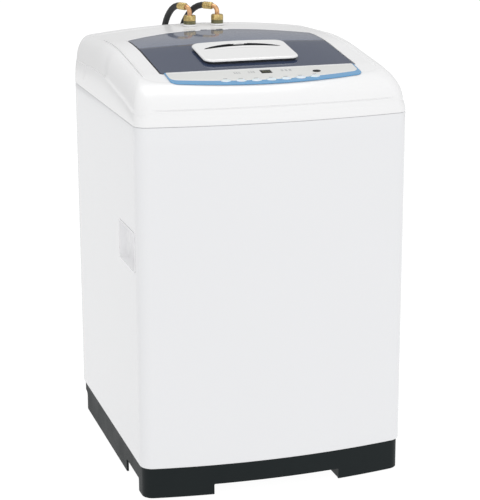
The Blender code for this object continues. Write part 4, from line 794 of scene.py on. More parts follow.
for x in skirt["ribsX"]:
    rib = block("rib", (x, skirt["ribFront"], 0.004), (x + skirt["ribWidth"], skirt["ribRear"], skirt["ribHigh"]))
    combine(base, [rib], "UNION")
place(base, "black", "cabinet", ["base_frame"])
footPad = [
    (0.0020, 0.0004), (0.0170, 0.0), (0.0184, 0.0005), (0.0190, 0.0020), (0.0190, 0.0090), (0.0184, 0.0110), (0.0170, 0.0118),
    (0.0100, 0.0124), (0.0060, 0.0150), (0.0050, 0.0165)]
for k in range(28):  # the thread
    footPad += [(0.0050, 0.0170 + k * 0.0018), (0.0044, 0.0179 + k * 0.0018)]
footPad += [(0.0048, 0.0678), (0.0040, 0.0688), (0.0012, 0.0689)]
for corner, (x, y) in feet.items():
    pad = turned("foot_" + corner, footPad, (x, y), 40)
    place(pad, "black", "foot_" + corner, ["leveling_foot_" + corner])
print("base ready")

# The top cover
deck = {
    "top": 0.9525, "slope": 0.165, "slopeEnd": -0.0316, "flatStart": 0.1284, "nose": 0.45, "crown": 0.017, "crownHalf": 0.26,
    "lidFront": -0.1816, "taper": 0.006, "sideRun": 0.030, "sideDrop": 0.055, "frontRun": 0.060, "frontDrop": 0.040,
    "corner": 0.046, "recess": 0.018, "wall": 0.0025, "seam": 0.823, "flange": 0.868, "grooveZ": 0.8565,
    "lidHalf": 0.2175, "lidRearCorner": 0.1134, "lidSag": 0.075, "lidGap": 0.0028, "fold": 0.0134, "foldGap": 0.0012,
    "pane": 0.004, "edge": 0.0035, "edgeCorner": 0.035, "rearRound": 0.004, "lidCorner": 0.003,
    "groove": {6: (-0.0034, 0), 8: (-0.0018, 0.0002), 10: (-0.0010, 0.0016), 12: (0, 0.0022), 14: (0.0010, 0.0016),
               16: (0.0018, 0.0002), 18: (0.0034, 0)},
    "rollTurns": (0, 3, 6, 8, 10, 12, 14, 16, 18, 25, 31, 38, 45, 52, 59, 66, 73, 79, 84, 90),
    "seamProfile": {
        0.035: 0.0001, 0.060: 0, 0.070: -0.0004, 0.078: -0.0022, 0.088: -0.0022, 0.096: 0.0010, 0.104: 0.0016, 0.150: 0.0014,
        0.175: 0.0003, 0.20: 0, 0.30: 0, 0.45: 0, 0.60: 0, 0.75: 0, 0.88: 0, 0.95: 0, 0.975: 0, 0.99: -0.0002,
        0.997: -0.0006, 1.0: -0.0014},
    "sideSlot": {"x": 0.31, "half": 0.0125, "front": 0.2125, "rear": 0.2170, "low": 0.845, "high": 0.876},
    "portX": (-0.031, 0.037), "portRadius": 0.0122,
}


# The top surface: it rises from the controls to the lid's rear and is crowned there
def deckHeight(x, y):
    if y > deck["slopeEnd"]:
        fall = deck["slope"] * max(deck["flatStart"] - y, 0) ** 2 / (2 * (deck["flatStart"] - deck["slopeEnd"]))
    else:
        fall = deck["slope"] * ((deck["flatStart"] - deck["slopeEnd"]) / 2 + deck["slopeEnd"] - y)
    nose = deck["nose"] * max(deck["lidFront"] - y, 0) ** 2
    along = min(max((y - deck["lidFront"]) / (body["rear"] - deck["lidFront"]), 0), 1)
    return deck["top"] - fall - nose - deck["crown"] * along * (x / deck["crownHalf"]) ** 2


# How far into the roll-over a point is, 0 to 1, from the side and from the front, each squared
def rollShares(x, y):
    edgeX = body["half"] - deck["taper"]
    edgeY = body["front"] + deck["taper"] - body["bow"] * (1 - (x / body["half"]) ** 2)
    side = min(max(1 - (edgeX - abs(x)) / deck["sideRun"], 0), 1)
    front = min(max(1 - (y - edgeY) / deck["frontRun"], 0), 1)
    return side**2, front**2


# How far the roll-over falls below the deck at this point of the outline
def dropAt(x, y):
    side, front = rollShares(x, y)
    return (deck["sideDrop"] * side + deck["frontDrop"] * front) / max(side + front, 1e-9)


def coverHeight(x, y):
    reach = sum(rollShares(x, y))
    return deckHeight(x, y) - dropAt(x, y) * (1 - math.sqrt(1 - min(reach, 1)))


def island(inset):
    half = body["half"] - deck["taper"] - deck["sideRun"] - inset
    front = body["front"] + deck["taper"] + deck["frontRun"] + inset
    return bowed(half, front, body["rear"] - 0.010 - inset, body["bow"], 0, deck["corner"], body["rearCorner"])


def lidLine(grow):
    return bowed(deck["lidHalf"] + grow, deck["lidFront"] - grow, deck["lidRearCorner"] + grow, 0, deck["lidSag"],
                 deck["lidCorner"] + grow, deck["lidCorner"] + grow)


def washLine(grow):
    return bowed(0.185 + grow, -0.135 - grow, 0.140 + grow, 0.020, 0.020, 0.110 + grow, 0.110 + grow)


# How far the rear top edge is rounded down
def rearRound(x, y):
    t = min(max(1 - (body["rear"] - y) / deck["rearRound"], 0), 1)
    return deck["rearRound"] * (1 - math.sqrt(1 - t * t))


def onCover(outline, drop=0.0, change=None):
    return [(x, y, coverHeight(x, y) - rearRound(x, y) - drop + (change(x, y) if change else 0)) for x, y in outline]


# Where the side and rear seams of the deck show, 0 to 1
def seamShare(x, y):
    sides = fade(abs(x), 0.235, 0.245) * fade(y, -0.205, -0.180) * (1 - fade(y, 0.150, 0.175))
    return max(sides, 0.45 * fade(y, 0.270, 0.285))


# A ring of the roll-over: the corners turn evenly too, the rear half follows the cover's own surface
def rolled(start, outline, turn):
    ring = []
    for (x0, y0), (x, y) in zip(start, outline):
        if y0 < 0:
            z = deckHeight(x, y) - dropAt(x0, y0) * (1 - math.sin(math.radians(turn)))
        else:
            z = coverHeight(x, y)
        ring.append((x, y, z - rearRound(x, y)))
    return ring


# The y where the rolled front has the height z
def frontAt(x, z):
    near = body["front"] + deck["edge"] - body["bow"] * (1 - (x / body["half"]) ** 2)
    turn = math.asin(min(max(1 - (deckHeight(x, near) - z) / deck["frontDrop"], 0), 1))
    return near + (deck["frontRun"] + deck["taper"] - deck["edge"]) * (1 - math.cos(turn))


def coverEdge(inset):
    half, front = body["half"] - deck["edge"] - inset, body["front"] + deck["edge"] + inset
    return bowed(half, front, body["rear"] - inset, body["bow"], 0, deck["edgeCorner"] - inset, body["rearCorner"] - inset)


wall, depth, groove = deck["wall"], deck["recess"], deck["groove"]
edge, innerEdge, mid, innerMid = coverEdge(0), coverEdge(wall), island(0), island(wall)
lid, lidWall, wash = lidLine(deck["lidGap"]), lidLine(deck["lidGap"] + wall), washLine(0)
# Up from the seam, over the roll with its groove, and across the deck to the lid
rings = []
for inset, rise in ((0.0016, 0), (0.0007, 0.0003), (0.0001, 0.0012), (0, 0.0020)):
    rings.append(flat(shellLine(inset, body["rear"]), deck["seam"] + rise))
low, first = rings[-1], rolled(edge, edge, 0)
for share in (0.15, 0.30, 0.45, 0.60, 0.72, 0.84, 0.93):
    plan, height = blendRings(low, first, share**2.2), blendRings(low, first, share)
    rings.append([(p[0], p[1], q[2]) for p, q in zip(plan, height)])
for turn in deck["rollTurns"]:
    outline = blendOutlines(edge, mid, 1 - math.cos(math.radians(turn)))
    lift = math.exp(-(((turn - 84) / 7) ** 2)) * 0.0005
    ring = []
    for x, y, z in rolled(edge, outline, turn):
        z += lift * (1 - fade(y, 0.25, 0.30))
        if turn in groove and y < -0.24 and abs(x) < 0.283:
            offset, cut = groove[turn]
            share = 1 - fade(abs(x), 0.262, 0.283)
            level = deck["grooveZ"] + offset
            z = z + (level - z) * share
            y = y + (frontAt(x, level) - y) * share + cut * (1 - fade(abs(x), 0.245, 0.275))
        ring.append((x, y, z))
    rings.append(ring)
for share, rise in deck["seamProfile"].items():
    outline = blendOutlines(mid, lid, share)
    rings.append(onCover(outline, change=lambda x, y: rise * (seamShare(x, y) if share < 0.9 else 1)))
# Down into the lid's recess and the wash opening, and back up the inner wall
rings += [onCover(lid, depth - 0.0020), onCover(lidLine(deck["lidGap"] - 0.0006), depth - 0.0006)]
rings += [onCover(lidLine(deck["lidGap"] - 0.0020), depth), onCover(washLine(0.008), depth)]
rings += [onCover(washLine(0.003), depth + 0.0005), onCover(washLine(0.0008), depth + 0.0025), onCover(wash, depth + 0.006)]
for grow, rise in ((0, 0.001), (0.0006, 0), (wall - 0.0006, 0), (wall, 0.001)):
    rings.append(flat(washLine(grow), deck["flange"] + rise))
rings += [onCover(washLine(wall), depth + wall), onCover(lidWall, depth + wall), onCover(lidWall, wall)]
rings += [onCover(blendOutlines(innerMid, lidWall, share), wall) for share in (0.66, 0.33)]
for turn in (90, 75, 60, 45, 30, 15, 0):
    share, lower = 1 - math.cos(math.radians(turn)), wall * math.sin(math.radians(turn))
    outside, inside = blendOutlines(edge, mid, share), blendOutlines(innerEdge, innerMid, share)
    rings.append([(q[0], q[1], p[2] - lower) for p, q in zip(rolled(edge, outside, turn), inside)])
rings.append(flat(shellLine(wall, body["rear"]), deck["seam"]))
cover = loft("cover_moulding", rings, closed=True)
panel = {
    "half": 0.2095, "rear": -0.1848, "trimHalf": 0.2125, "trimFront": -0.2466, "sag": 0.024, "radius": 0.014,
    "trimWidth": 0.018, "lift": 0.0006, "thick": 0.002, "pitch": 0.033, "rowX": 0.004, "buttonLength": 0.0225,
    "buttonDepth": 0.0135, "play": 0.0005,
    "displayX": 0.006, "displayY": -0.207, "display": (0.01185, 0.01035), "displayPlay": 0.0004,
    "buttonNames": ("power", "start_pause", "cycle", "water_level", "soil", "rinse", "delay"),
    "buttonRings": (
        (0.0010, -0.0054), (0.0, -0.0050), (0.0, 0.0026), (0.0003, 0.0031), (0.0010, 0.0035), (0.0024, 0.0037),
        (0.0042, 0.0036), (0.0060, 0.0034)),
    "digitPitch": 0.0062, "digitLong": 0.0044, "digitWide": 0.0015,
    "acrossHalf": (0.0010, 0.0004), "uprightHalf": (0.00028, 0.0016),
    "markGroups": (  # left, front, pitch, row pitch, width
        (-0.066, -0.2105, 0.0055, 0.0060, 0.0034), (-0.034, -0.2105, 0.0055, 0.0060, 0.0034),
        (0.040, -0.2085, 0.0090, 0.0055, 0.0052)),
    "markHalf": 0.0008, "medal": (0.116, -0.220, 0.018, 0.013),
    "medalRings": ((0.0, 0.0), (0.0, 0.0006), (0.0004, 0.0009), (0.0012, 0.0010), (0.0018, 0.0008), (0.0045, 0.0008)),
}


# The line between the silver panel and the blue trim, parallel to the bowed front
def trimEdge(x):
    return panel["trimFront"] + panel["trimWidth"] - panel["sag"] * (1 - (x / panel["trimHalf"]) ** 2)


def oval(x, y, length, width, count=48):
    turns = [2 * math.pi * k / count for k in range(count)]
    return [(x + length / 2 * math.cos(turn), y + width / 2 * math.sin(turn)) for turn in turns]


buttonXs = [panel["rowX"] + panel["pitch"] * (k - 3) for k in range(7)]


def buttonCut(x):
    length, width = panel["buttonLength"] + 2 * panel["play"], panel["buttonDepth"] + 2 * panel["play"]
    return prism("cut", oval(x, trimEdge(x), length, width), 0.85, 1.0)


def displayCut():
    x, y = panel["displayX"], panel["displayY"]
    halfX, halfY = [half + panel["displayPlay"] for half in panel["display"]]
    return soften(block("cut", (x - halfX, y - halfY, 0.85), (x + halfX, y + halfY, 1.0)), 0.0015, 3)


cuts = [rod("cut", (x, hoses["portY"], 0.93), (x, hoses["portY"], 0.99), deck["portRadius"], 48) for x in deck["portX"]]
cuts += [buttonCut(x) for x in buttonXs] + [displayCut()]
sideSlot = deck["sideSlot"]
for side in (-1, 1):
    low = (side * sideSlot["x"] - sideSlot["half"], sideSlot["front"], sideSlot["low"])
    high = (side * sideSlot["x"] + sideSlot["half"], sideSlot["rear"], sideSlot["high"])
    cuts.append(soften(block("cut", low, high), 0.0015, 2))
combine(cover, cuts)
place(cover, "cover", "cabinet", ["top_cover"], smooth=38)
print("cover ready")

# The control panel
# The bowed front edge of a panel, its corners rounded
def arched(half, front, rounded):
    def line(x):
        past = max(abs(x) - (half - rounded), 0)
        return front - panel["sag"] * (1 - (x / half) ** 2) + rounded - math.sqrt(max(rounded**2 - past**2, 0))
    return line


def panelLow(x, y):
    return deckHeight(x, y) + panel["lift"]


def panelHigh(x, y):
    return deckHeight(x, y) + panel["lift"] + panel["thick"]


def panelPlate(name, half, front, rear, low=panelLow, high=panelHigh, edge=0.0005):
    xs, frontLine = roundEnds(half, panel["radius"], 40), arched(half, front, panel["radius"])
    return strip(name, xs, frontLine, lambda x: rear, low, high, 10, edge)


fascia = panelPlate("panel_plate", panel["half"], panel["trimFront"] + panel["trimWidth"], panel["rear"])
combine(fascia, [buttonCut(x) for x in buttonXs] + [displayCut()])
place(fascia, "silver", "cabinet", ["control_fascia"])
trim = panelPlate("blue_band", panel["trimHalf"], panel["trimFront"], panel["rear"])
inside = panelPlate("cut", panel["half"] + 0.0003, panel["trimFront"] + panel["trimWidth"] - 0.0003, panel["rear"] + 0.01,
                    lambda x, y: deckHeight(x, y) - 0.01, lambda x, y: deckHeight(x, y) + 0.01, 0)
combine(trim, [inside] + [buttonCut(x) for x in buttonXs])
place(trim, "blue", "cabinet", ["blue_trim"])
# A light moulding along the panel's rear edge
bead = strip("panel_rear_bead", evenly(-0.2080, 0.2080, 24),
             lambda x: panel["rear"] - 0.0032, lambda x: panel["rear"] - 0.0004,
             lambda x, y: panelHigh(x, y) - 0.0002, lambda x, y: panelHigh(x, y) + 0.0005, 3, 0.0002)
place(bead, "white", "cabinet")
for x, name in zip(buttonXs, panel["buttonNames"]):
    rings = []
    for inset, lift in panel["buttonRings"]:
        outline = oval(x, trimEdge(x), panel["buttonLength"] - 2 * inset, panel["buttonDepth"] - 2 * inset)
        rings.append([(a, b, deckHeight(a, b) + lift) for a, b in outline])
    place(loft("key_cap_" + name, rings), "button", "key_" + name, ["button_" + name])


# A small flat plate on the deck, from its middle and half sizes, between two lifts above a surface
def tile(name, x, y, half, surfaceAt, low, high, steps=(1, 1), edge=0):
    return strip(name, evenly(x - half[0], x + half[0], steps[0]), lambda a: y - half[1], lambda a: y + half[1],
                 lambda a, b: surfaceAt(a, b) + low, lambda a, b: surfaceAt(a, b) + high, steps[1], edge)


x, y = panel["displayX"], panel["displayY"]
glass = tile("display_glass", x, y, panel["display"], deckHeight, -0.0033, 0.0022, (6, 4), 0.0006)
place(glass, "display", "cabinet", ["display_window"])
# Three seven-segment figures, all eights
bars = [(0, up, panel["acrossHalf"]) for up in (1, 0, -1)]
bars += [(side, up, panel["uprightHalf"]) for up in (0.5, -0.5) for side in (-1, 1)]
segments = []
for digit in (-1, 0, 1):
    for side, up, half in bars:
        at = (x + digit * panel["digitPitch"] + side * panel["digitWide"], y + up * panel["digitLong"])
        segments.append(tile("segment", *at, half, deckHeight, 0.00205, 0.00235))
place(together("display_figures", segments), "digit", "cabinet")
dashes = [(bx - 0.003, trimEdge(bx) + 0.0105, 0.009) for bx in buttonXs]
for left, front, pitch, rowPitch, wide in panel["markGroups"]:
    dashes += [(left + pitch * k, front + rowPitch * row, wide) for k in range(3) for row in range(2)]
marks = []
for left, y, wide in dashes:
    marks.append(tile("mark", left + wide / 2, y, (wide / 2, panel["markHalf"]), panelHigh, -0.0001, 0.00015))
place(together("panel_marks", marks), "mark", "cabinet")
x, y, length, width = panel["medal"]
rings = []
for inset, lift in panel["medalRings"]:
    rings.append([(a, b, panelHigh(a, b) + lift - 0.0001) for a, b in oval(x, y, length - 2 * inset, width - 2 * inset)])
place(loft("plain_medallion", rings), "display", "cabinet")
print("controls ready")

# The lid
def lidRear(x):
    half, sag = deck["lidHalf"], deck["lidSag"]
    bend = (half**2 + sag**2) / (2 * sag)
    return deck["lidRearCorner"] + sag - bend + math.sqrt(bend**2 - x**2)


def paneLow(x, y):
    return deckHeight(x, y) - deck["pane"]


handle = {
    "half": 0.108, "front": -0.1396, "rear": -0.0120, "sag": 0.006, "radius": 0.022, "lift": 0.010, "wall": 0.0025,
    "slotHalf": 0.088, "slotY": -0.0586, "slotSag": 0.020, "slotWidth": 0.018,
    "cupHalf": 0.100, "cupFront": -0.133, "cupRear": -0.020, "cupRadius": 0.018, "cupDepth": 0.015, "middle": -0.0765,
    "steps": (10, 60, 60, 4, 10), "rounding": 0.0055, "lip": 0.0002, "crease": 0.0012,
    "topShares": (
        0.08, 0.16, 0.24, 0.32, 0.40, 0.46, 0.52, 0.57, 0.61, 0.65, 0.69, 0.73, 0.77, 0.81, 0.85, 0.89, 0.93, 0.97, 1.0),
}


def cupLine(grow):
    return bowed(handle["cupHalf"] + grow, handle["cupFront"] - grow, handle["cupRear"] + grow, 0, 0,
                 handle["cupRadius"] + grow, handle["cupRadius"] + grow, handle["steps"])


def slotCentre(x):
    return handle["slotY"] + handle["slotSag"] * (1 - (x / handle["slotHalf"]) ** 2)


hinge = {
    "y": 0.1849, "z": 0.951, "notchX": 0.034, "notchHalf": 0.007, "notchReach": 0.006, "knuckle": (0.012, 0.026),
    "knuckleRadius": 0.0024, "boreHalf": 0.03, "bore": 0.0011, "foldY": 0.0134, "foldZ": 0.93356, "barrelHalf": 0.007,
    "barrel": 0.0032, "foldBore": 0.0018,
}
xs = roundEnds(deck["lidHalf"], 0.004, 56)
frontPane = strip("front_pane", xs, lambda x: deck["lidFront"],
                  lambda x: deck["fold"] - deck["foldGap"] / 2, paneLow, deckHeight, 22, 0.0016)
combine(frontPane, [prism("cut", cupLine(handle["wall"] + 0.0005), 0.85, 1.0)])
rearPane = strip("rear_pane", xs, lambda x: deck["fold"] + deck["foldGap"] / 2, lidRear, paneLow, deckHeight, 18, 0.0016)
hingeY, hingeZ, foldY, foldZ = hinge["y"], hinge["z"], hinge["foldY"], hinge["foldZ"]
for side in (-1, 1):
    x = side * hinge["notchX"]
    notch = block("cut", (x - hinge["notchHalf"], hingeY - hinge["notchReach"], 0.9), (x + hinge["notchHalf"], 0.21, 1.0))
    combine(rearPane, [notch])
    ends = [(side * reach, hingeY, hingeZ) for reach in hinge["knuckle"]]
    combine(rearPane, [rod("knuckle", *ends, hinge["knuckleRadius"], 24)], "UNION")
combine(rearPane, [rod("cut", (-hinge["boreHalf"], hingeY, hingeZ), (hinge["boreHalf"], hingeY, hingeZ), hinge["bore"], 20)])
frontPane.data.materials.append(look["pane"])
rearPane.data.materials.append(look["rearPane"])
leaves = ((frontPane, "lid_front_leaf", "lid_front", 0.184, -1), (rearPane, "lid_back_leaf", "lid_rear", 0.200, 1))
for pane, bodyName, node, barrelX, towards in leaves:
    # Upright edge faces take the near-black edge material: painted shade of the gap round the leaf
    pane.data.materials.append(look["paneEdge"])
    for face in pane.data.polygons:
        face.material_index = 1 if abs(face.normal.z) < 0.9 else 0
    place(pane, "pane", bodyName, [node])
    for side, word in ((-1, "left"), (1, "right")):
        x = side * barrelX
        left, right = x - hinge["barrelHalf"], x + hinge["barrelHalf"]
        barrel = rod("fold_barrel", (left, foldY, foldZ), (right, foldY, foldZ), hinge["barrel"], 32)
        near, far = foldY + towards * 0.0009, foldY + towards * 0.0085
        webLine = [(near, foldZ - 0.0012), (far, paneLow(x, far)), (far, paneLow(x, far) + 0.0003), (near, foldZ + 0.0020)]
        combine(barrel, [loft("web", [[(a, y, z) for y, z in webLine] for a in (left, right)])], "UNION")
        combine(barrel, [rod("cut", (x - 0.01, foldY, foldZ), (x + 0.01, foldY, foldZ), hinge["foldBore"], 20)])
        barrel.name = barrel.data.name = node + "_barrel_" + word
        place(barrel, "paneEdge", bodyName)

# The handle in one skin: cup outside, rim, top, slot, pocket
def gripLine(inset):
    return bowed(handle["half"] - inset, handle["front"] + inset, handle["rear"] - inset, 0, handle["sag"],
                 handle["radius"] - inset, handle["radius"] - inset, handle["steps"])


# The slot's edge, point for point with the cup's outline
def slotRing(grow=0.0):
    line, half = cupLine(0), handle["slotHalf"] + grow
    frontCount = 2 * (handle["steps"][0] + 1) + handle["steps"][1] - 1
    sideCount = handle["steps"][3] - 1
    rearCount = 2 * (handle["steps"][4] + 1) + handle["steps"][2] - 1
    ring = []
    for k, (x, y) in enumerate(line):
        across = max(min(x * half / handle["cupHalf"], half), -half)
        width = (handle["slotWidth"] / 2 + grow) * math.sqrt(max(1 - (across / half) ** 2, 0))
        if k < frontCount:
            centre, sign = slotCentre(across), -1
        elif k < frontCount + sideCount or k >= frontCount + sideCount + rearCount:
            centre, sign = slotCentre(half), 0
        else:
            centre, sign = slotCentre(across), 1
        ring.append((across, centre + sign * width))
    return ring


# A lip that rises in front of the slot's middle, and the tapered crease below it
def topChange(x, y):
    ahead = slotCentre(x) - handle["slotWidth"] / 2 - y
    lip = handle["lip"] * max(1 - (x / 0.066) ** 2, 0) * math.exp(-((ahead / 0.0035) ** 2)) if ahead > -0.002 else 0
    share = max(1 - (x / 0.070) ** 2, 0)
    crease = -handle["crease"] * share * math.exp(-(((ahead - 0.0105) / (0.0006 + 0.0012 * share)) ** 2))
    return lip + crease


def lifted(outline, lift, change=False):
    return [(x, y, deckHeight(x, y) + lift + (topChange(x, y) if change else 0)) for x, y in outline]


def shrunk(outline, share):
    return [(x * share, handle["middle"] + (y - handle["middle"]) * share) for x, y in outline]


top, cupFloor = handle["lift"], -handle["cupDepth"]
under, radius = cupFloor - handle["wall"], handle["rounding"]
cupOut, cupIn = cupLine(handle["wall"]), cupLine(0)
rings = [lifted(shrunk(cupOut, share), under) for share in (0.15, 0.5, 0.85)]
rings += [lifted(cupLine(handle["wall"] - 0.003), under), lifted(cupLine(handle["wall"] - 0.0008), under + 0.0008)]
rings += [lifted(cupOut, under + 0.003), lifted(cupOut, 0.0004)]
for inset, lift in ((0.0045, 0.0004), (0.0040, 0.0040), (0.0030, 0.0048), (0.0008, 0.0052), (0, 0.0060)):
    rings.append(lifted(gripLine(inset), lift))
for k in range(1, 9):
    turn = math.pi / 2 * k / 8
    rings.append(lifted(gripLine(radius * (1 - math.cos(turn))), 0.0060 + 0.0040 * math.sin(turn)))
outerTop, mouth = gripLine(radius), slotRing(0.0010)
rings += [lifted(blendOutlines(outerTop, mouth, share), top, True) for share in handle["topShares"]]
rings += [lifted(slotRing(0.0003), top - 0.0003, True), lifted(slotRing(0), top - 0.0010, True)]
rings += [lifted(blendOutlines(slotRing(0), cupIn, share), top - 0.003) for share in (0, 0.35, 0.7)]
rings += [lifted(cupIn, lift) for lift in (top - 0.003, 0.0, cupFloor + 0.004)]
rings += [lifted(cupLine(-0.001), cupFloor + 0.001), lifted(cupLine(-0.004), cupFloor)]
rings += [lifted(shrunk(cupIn, share), cupFloor) for share in (0.8, 0.5, 0.15)]
grab = loft("handle_moulding", rings)
grab.data.materials.append(look["white"])
grab.data.materials.append(look["cup"])
# Faces low on the side wall, in the cup, in the slot and under the top take the near-black: painted shade
for face in grab.data.polygons:
    x, y, z = face.center
    above, off = z - deckHeight(x, y), abs(y - slotCentre(x))
    inSlot = above < 0.0098 and abs(x) < handle["slotHalf"] + 0.002 and off < handle["slotWidth"] / 2 - 0.0001
    underTop = 0.0068 < above < 0.0072 and face.normal.z < -0.5
    face.material_index = 1 if above < 0.0046 or inSlot or underTop else 0
place(grab, "white", "lid_front_leaf", ["lid_handle"], smooth=40)
print("lid ready")

# Tub, basket and agitator
tubShape = {
    "floor": [(0.068, 0.235), (0.2535, 0.235), (0.2600, 0.2368), (0.2640, 0.2410), (0.2655, 0.2470)],
    "inside": [(0.2655, 0.797), (0.2625, 0.797), (0.2625, 0.2470), (0.2610, 0.2420), (0.2515, 0.2380), (0.068, 0.2380)],
    "beads": (0.36, 0.48, 0.60, 0.72), "bead": [(0.2655, 0), (0.2670, 0.002), (0.2670, 0.008), (0.2655, 0.010)],
    "lugInner": 0.2620, "lugReach": 0.016, "lugRoot": 0.0256, "lugLow": 0.314, "lugHigh": 0.334, "lugCut": 0.2635,
    "rodHole": 0.0065, "drain": (0.150, -0.120, 0.014),
    "topRing": [
        (0.2060, 0.7914), (0.2085, 0.7914), (0.2085, 0.7974), (0.2659, 0.7974), (0.2659, 0.7874), (0.2685, 0.7874),
        (0.2685, 0.7996), (0.2675, 0.8004), (0.2300, 0.8010), (0.2280, 0.8022), (0.2160, 0.8024), (0.2080, 0.8034),
        (0.2060, 0.8026)],
}
tubProfile = list(tubShape["floor"])
for z in tubShape["beads"]:
    tubProfile += [(radius, z + rise) for radius, rise in tubShape["bead"]]
tub = turned("tub_moulding", tubProfile + tubShape["inside"], steps=120, closed=True)
for x, y in rods:
    # a lug that reaches out from the wall round each hanger rod
    out = Vector((x, y)).normalized()
    across, reach = Vector((out.y, -out.x)), tubShape["lugReach"]
    root, tip = out * tubShape["lugInner"], Vector((x, y)) + out * reach
    wide = across * tubShape["lugRoot"]
    outline = [root + wide, tip + across * reach, tip - across * reach, root - wide]
    lug = soften(prism("lug", outline, tubShape["lugLow"], tubShape["lugHigh"]), 0.002, 3)
    combine(lug, [rod("cut", (0, 0, 0.30), (0, 0, 0.35), tubShape["lugCut"], 120)])
    combine(tub, [lug], "UNION")
    combine(tub, [rod("cut", (x, y, 0.30), (x, y, 0.35), tubShape["rodHole"])])
x, y, radius = tubShape["drain"]
combine(tub, [rod("cut", (x, y, 0.22), (x, y, 0.26), radius)])
place(tub, "grey", "tub", ["outer_tub"])
place(turned("tub_top_ring", tubShape["topRing"], steps=120, closed=True), "satin", "tub", ["tub_cover_ring"])

# The basket: rows of round holes and drawn beads
drum = {
    "columns": 120, "rows": 40, "low": 0.274, "high": 0.764, "radius": 0.24125, "beads": (0.40, 0.66), "beadDepth": 0.0014,
    "beadHalf": 0.006, "clear": 0.012, "firstRow": 2, "lastRow": 37, "inset": 0.0030, "corner": 0.0019, "sheet": 0.0015,
    "floor": [(0.0235, 0.26475), (0.12, 0.26475), (0.2320, 0.26475), (0.2375, 0.2658), (0.2405, 0.2690)],
    "balance": [
        (0.2020, 0.7362), (0.2376, 0.7362), (0.2400, 0.7400), (0.2400, 0.7724), (0.2440, 0.7724), (0.2440, 0.7800),
        (0.2425, 0.7832), (0.2380, 0.7860), (0.2250, 0.7868), (0.2230, 0.7850), (0.2130, 0.7850), (0.2110, 0.7868),
        (0.2030, 0.7860), (0.1985, 0.7838), (0.1960, 0.7790), (0.1960, 0.7450), (0.1980, 0.7390)],
}


def basketShape(radius, z, angle):
    bead = sum(drum["beadDepth"] * math.exp(-(((z - height) / drum["beadHalf"]) ** 2)) for height in drum["beads"])
    return (radius - bead if radius > 0.2 else radius), z


# Selects the faces that a test picks, in edit mode
def pick(piece, wanted):
    shell = bmesh.from_edit_mesh(piece.data)
    for face in shell.faces:
        face.select_set(wanted(face))
    bmesh.update_edit_mesh(piece.data)


def manySided(face):
    return len(face.verts) > 8


def holed(face):
    centre = face.calc_center_median()
    rowHeight = (drum["high"] - drum["low"]) / drum["rows"]
    row = round((centre.z - drum["low"]) / rowHeight - 0.5)
    share = (math.atan2(centre.y, centre.x) % (2 * math.pi)) / (2 * math.pi)
    column = round(share * drum["columns"] - 0.5)
    shown = drum["firstRow"] < row < drum["lastRow"] and row % 2 == 0 and (column + row // 2) % 2 == 0
    return shown and all(abs(centre.z - height) > drum["clear"] for height in drum["beads"])


skin = drum["floor"] + [(drum["radius"], z) for z in evenly(drum["low"], drum["high"], drum["rows"])]
basket = turned("basket_drum", skin, steps=drum["columns"], shape=basketShape)
choose(basket)
bpy.ops.object.mode_set(mode="EDIT")
pick(basket, manySided)  # the caps
bpy.ops.mesh.select_mode(type="FACE")
bpy.ops.mesh.delete(type="FACE")
pick(basket, holed)
bpy.ops.mesh.inset(use_individual=True, thickness=drum["inset"])
bpy.ops.mesh.select_mode(type="VERT")
bpy.ops.mesh.bevel(offset=drum["corner"], segments=2, affect="VERTICES")
bpy.ops.mesh.select_mode(type="FACE")
pick(basket, manySided)  # the insides of the holes, now round
bpy.ops.mesh.delete(type="FACE")
bpy.ops.mesh.select_all(action="SELECT")
bpy.ops.mesh.normals_make_consistent(inside=False)
bpy.ops.object.mode_set(mode="OBJECT")
thick = basket.modifiers.new("sheet", "SOLIDIFY")
thick.thickness, thick.offset = drum["sheet"], 0.0
applyAll(basket)
place(basket, "steel", "basket", ["wash_basket"])
place(turned("balance_hoop", drum["balance"], steps=120, closed=True), "satin", "basket", ["balance_ring"])
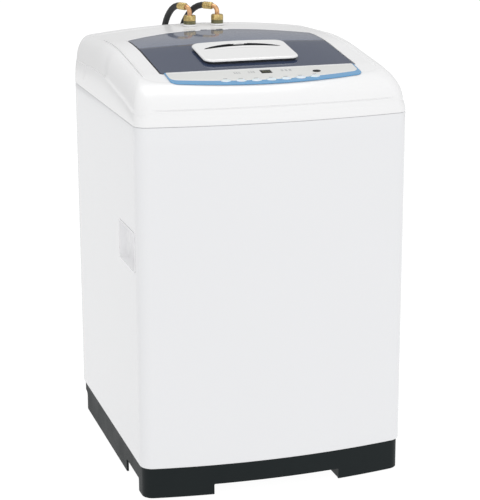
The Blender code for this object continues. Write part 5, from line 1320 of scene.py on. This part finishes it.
plate = {
    "vanes": 4, "vaneHeight": 0.014, "vaneStart": 0.030, "vaneEnd": 0.164, "above": 0.2755,
    "rim": [
        (0.004, 0.2695), (0.1600, 0.2695), (0.1640, 0.2697), (0.1672, 0.2712), (0.1680, 0.2735), (0.1680, 0.2752),
        (0.1670, 0.2768)],
    "hub": [(0.0400, 0.2995), (0.0330, 0.3040), (0.0270, 0.3070), (0.0200, 0.3086), (0.0120, 0.3093), (0.0040, 0.3095)],
}


def vanes(radius, z, angle):
    share = min(max((radius - plate["vaneStart"]) / 0.10, 0), 1) * min(max((plate["vaneEnd"] - radius) / 0.03, 0), 1)
    rise = plate["vaneHeight"] * share * max(math.cos(plate["vanes"] * angle), 0) ** 2
    return radius, z + (rise if z > plate["above"] else 0)


dish = [(0.1640 - 0.0048 * k, 0.2776 + 0.0004 * k + 0.0000425 * k * k) for k in range(1, 26)]
paddle = plate["rim"] + dish + plate["hub"]
place(turned("agitator_plate", paddle, steps=144, shape=vanes), "white", "agitator", ["pulsator"])

# Suspension
hanger = [
    (0.002, 0.2440), (0.0195, 0.2440), (0.0210, 0.2455), (0.0210, 0.2980), (0.0205, 0.2990), (0.0180, 0.2990),
    (0.0175, 0.2980), (0.0175, 0.2500), (0.0100, 0.2480), (0.0050, 0.2500), (0.0050, 0.7760), (0.0050, 0.7815),
    (0.0120, 0.7815), (0.0125, 0.7830), (0.0110, 0.7870), (0.0070, 0.7910), (0.002, 0.7920)]
for x, y in rods:
    corner = ("front" if y < 0 else "rear") + ("_left" if x < 0 else "_right")
    place(turned("hanger_rod_" + corner, hanger, (x, y), 32), "zinc", "cabinet", ["suspension_rod_" + corner])
print("tub and suspension ready")

# Parts that keep their CAD shape
carried = {
    "gear_case": "cast", "motor": "cast", "motor_plate": "zinc", "motor_pulley": "cast", "drive_pulley": "cast",
    "drive_shaft": "steel", "spin_tube": "steel", "drive_belt": "rubber", "motor_capacitor": "satin", "drain_valve": "grey",
    "drain_outlet": "grey", "cord_gland": "black", "pressure_switch": "white", "fill_spout": "white", "inlet_valve": "white",
    "control_board": "board", "lid_hinge_bracket": "steel", "lid_hinge_pin": "steel", "lid_fold_pin": "steel",
    "lint_filter": "grey",
}
for name, finish in carried.items():
    piece = nodes[name]
    piece.data.materials.clear()
    piece.data.materials.append(look[finish])
print("carried parts ready")
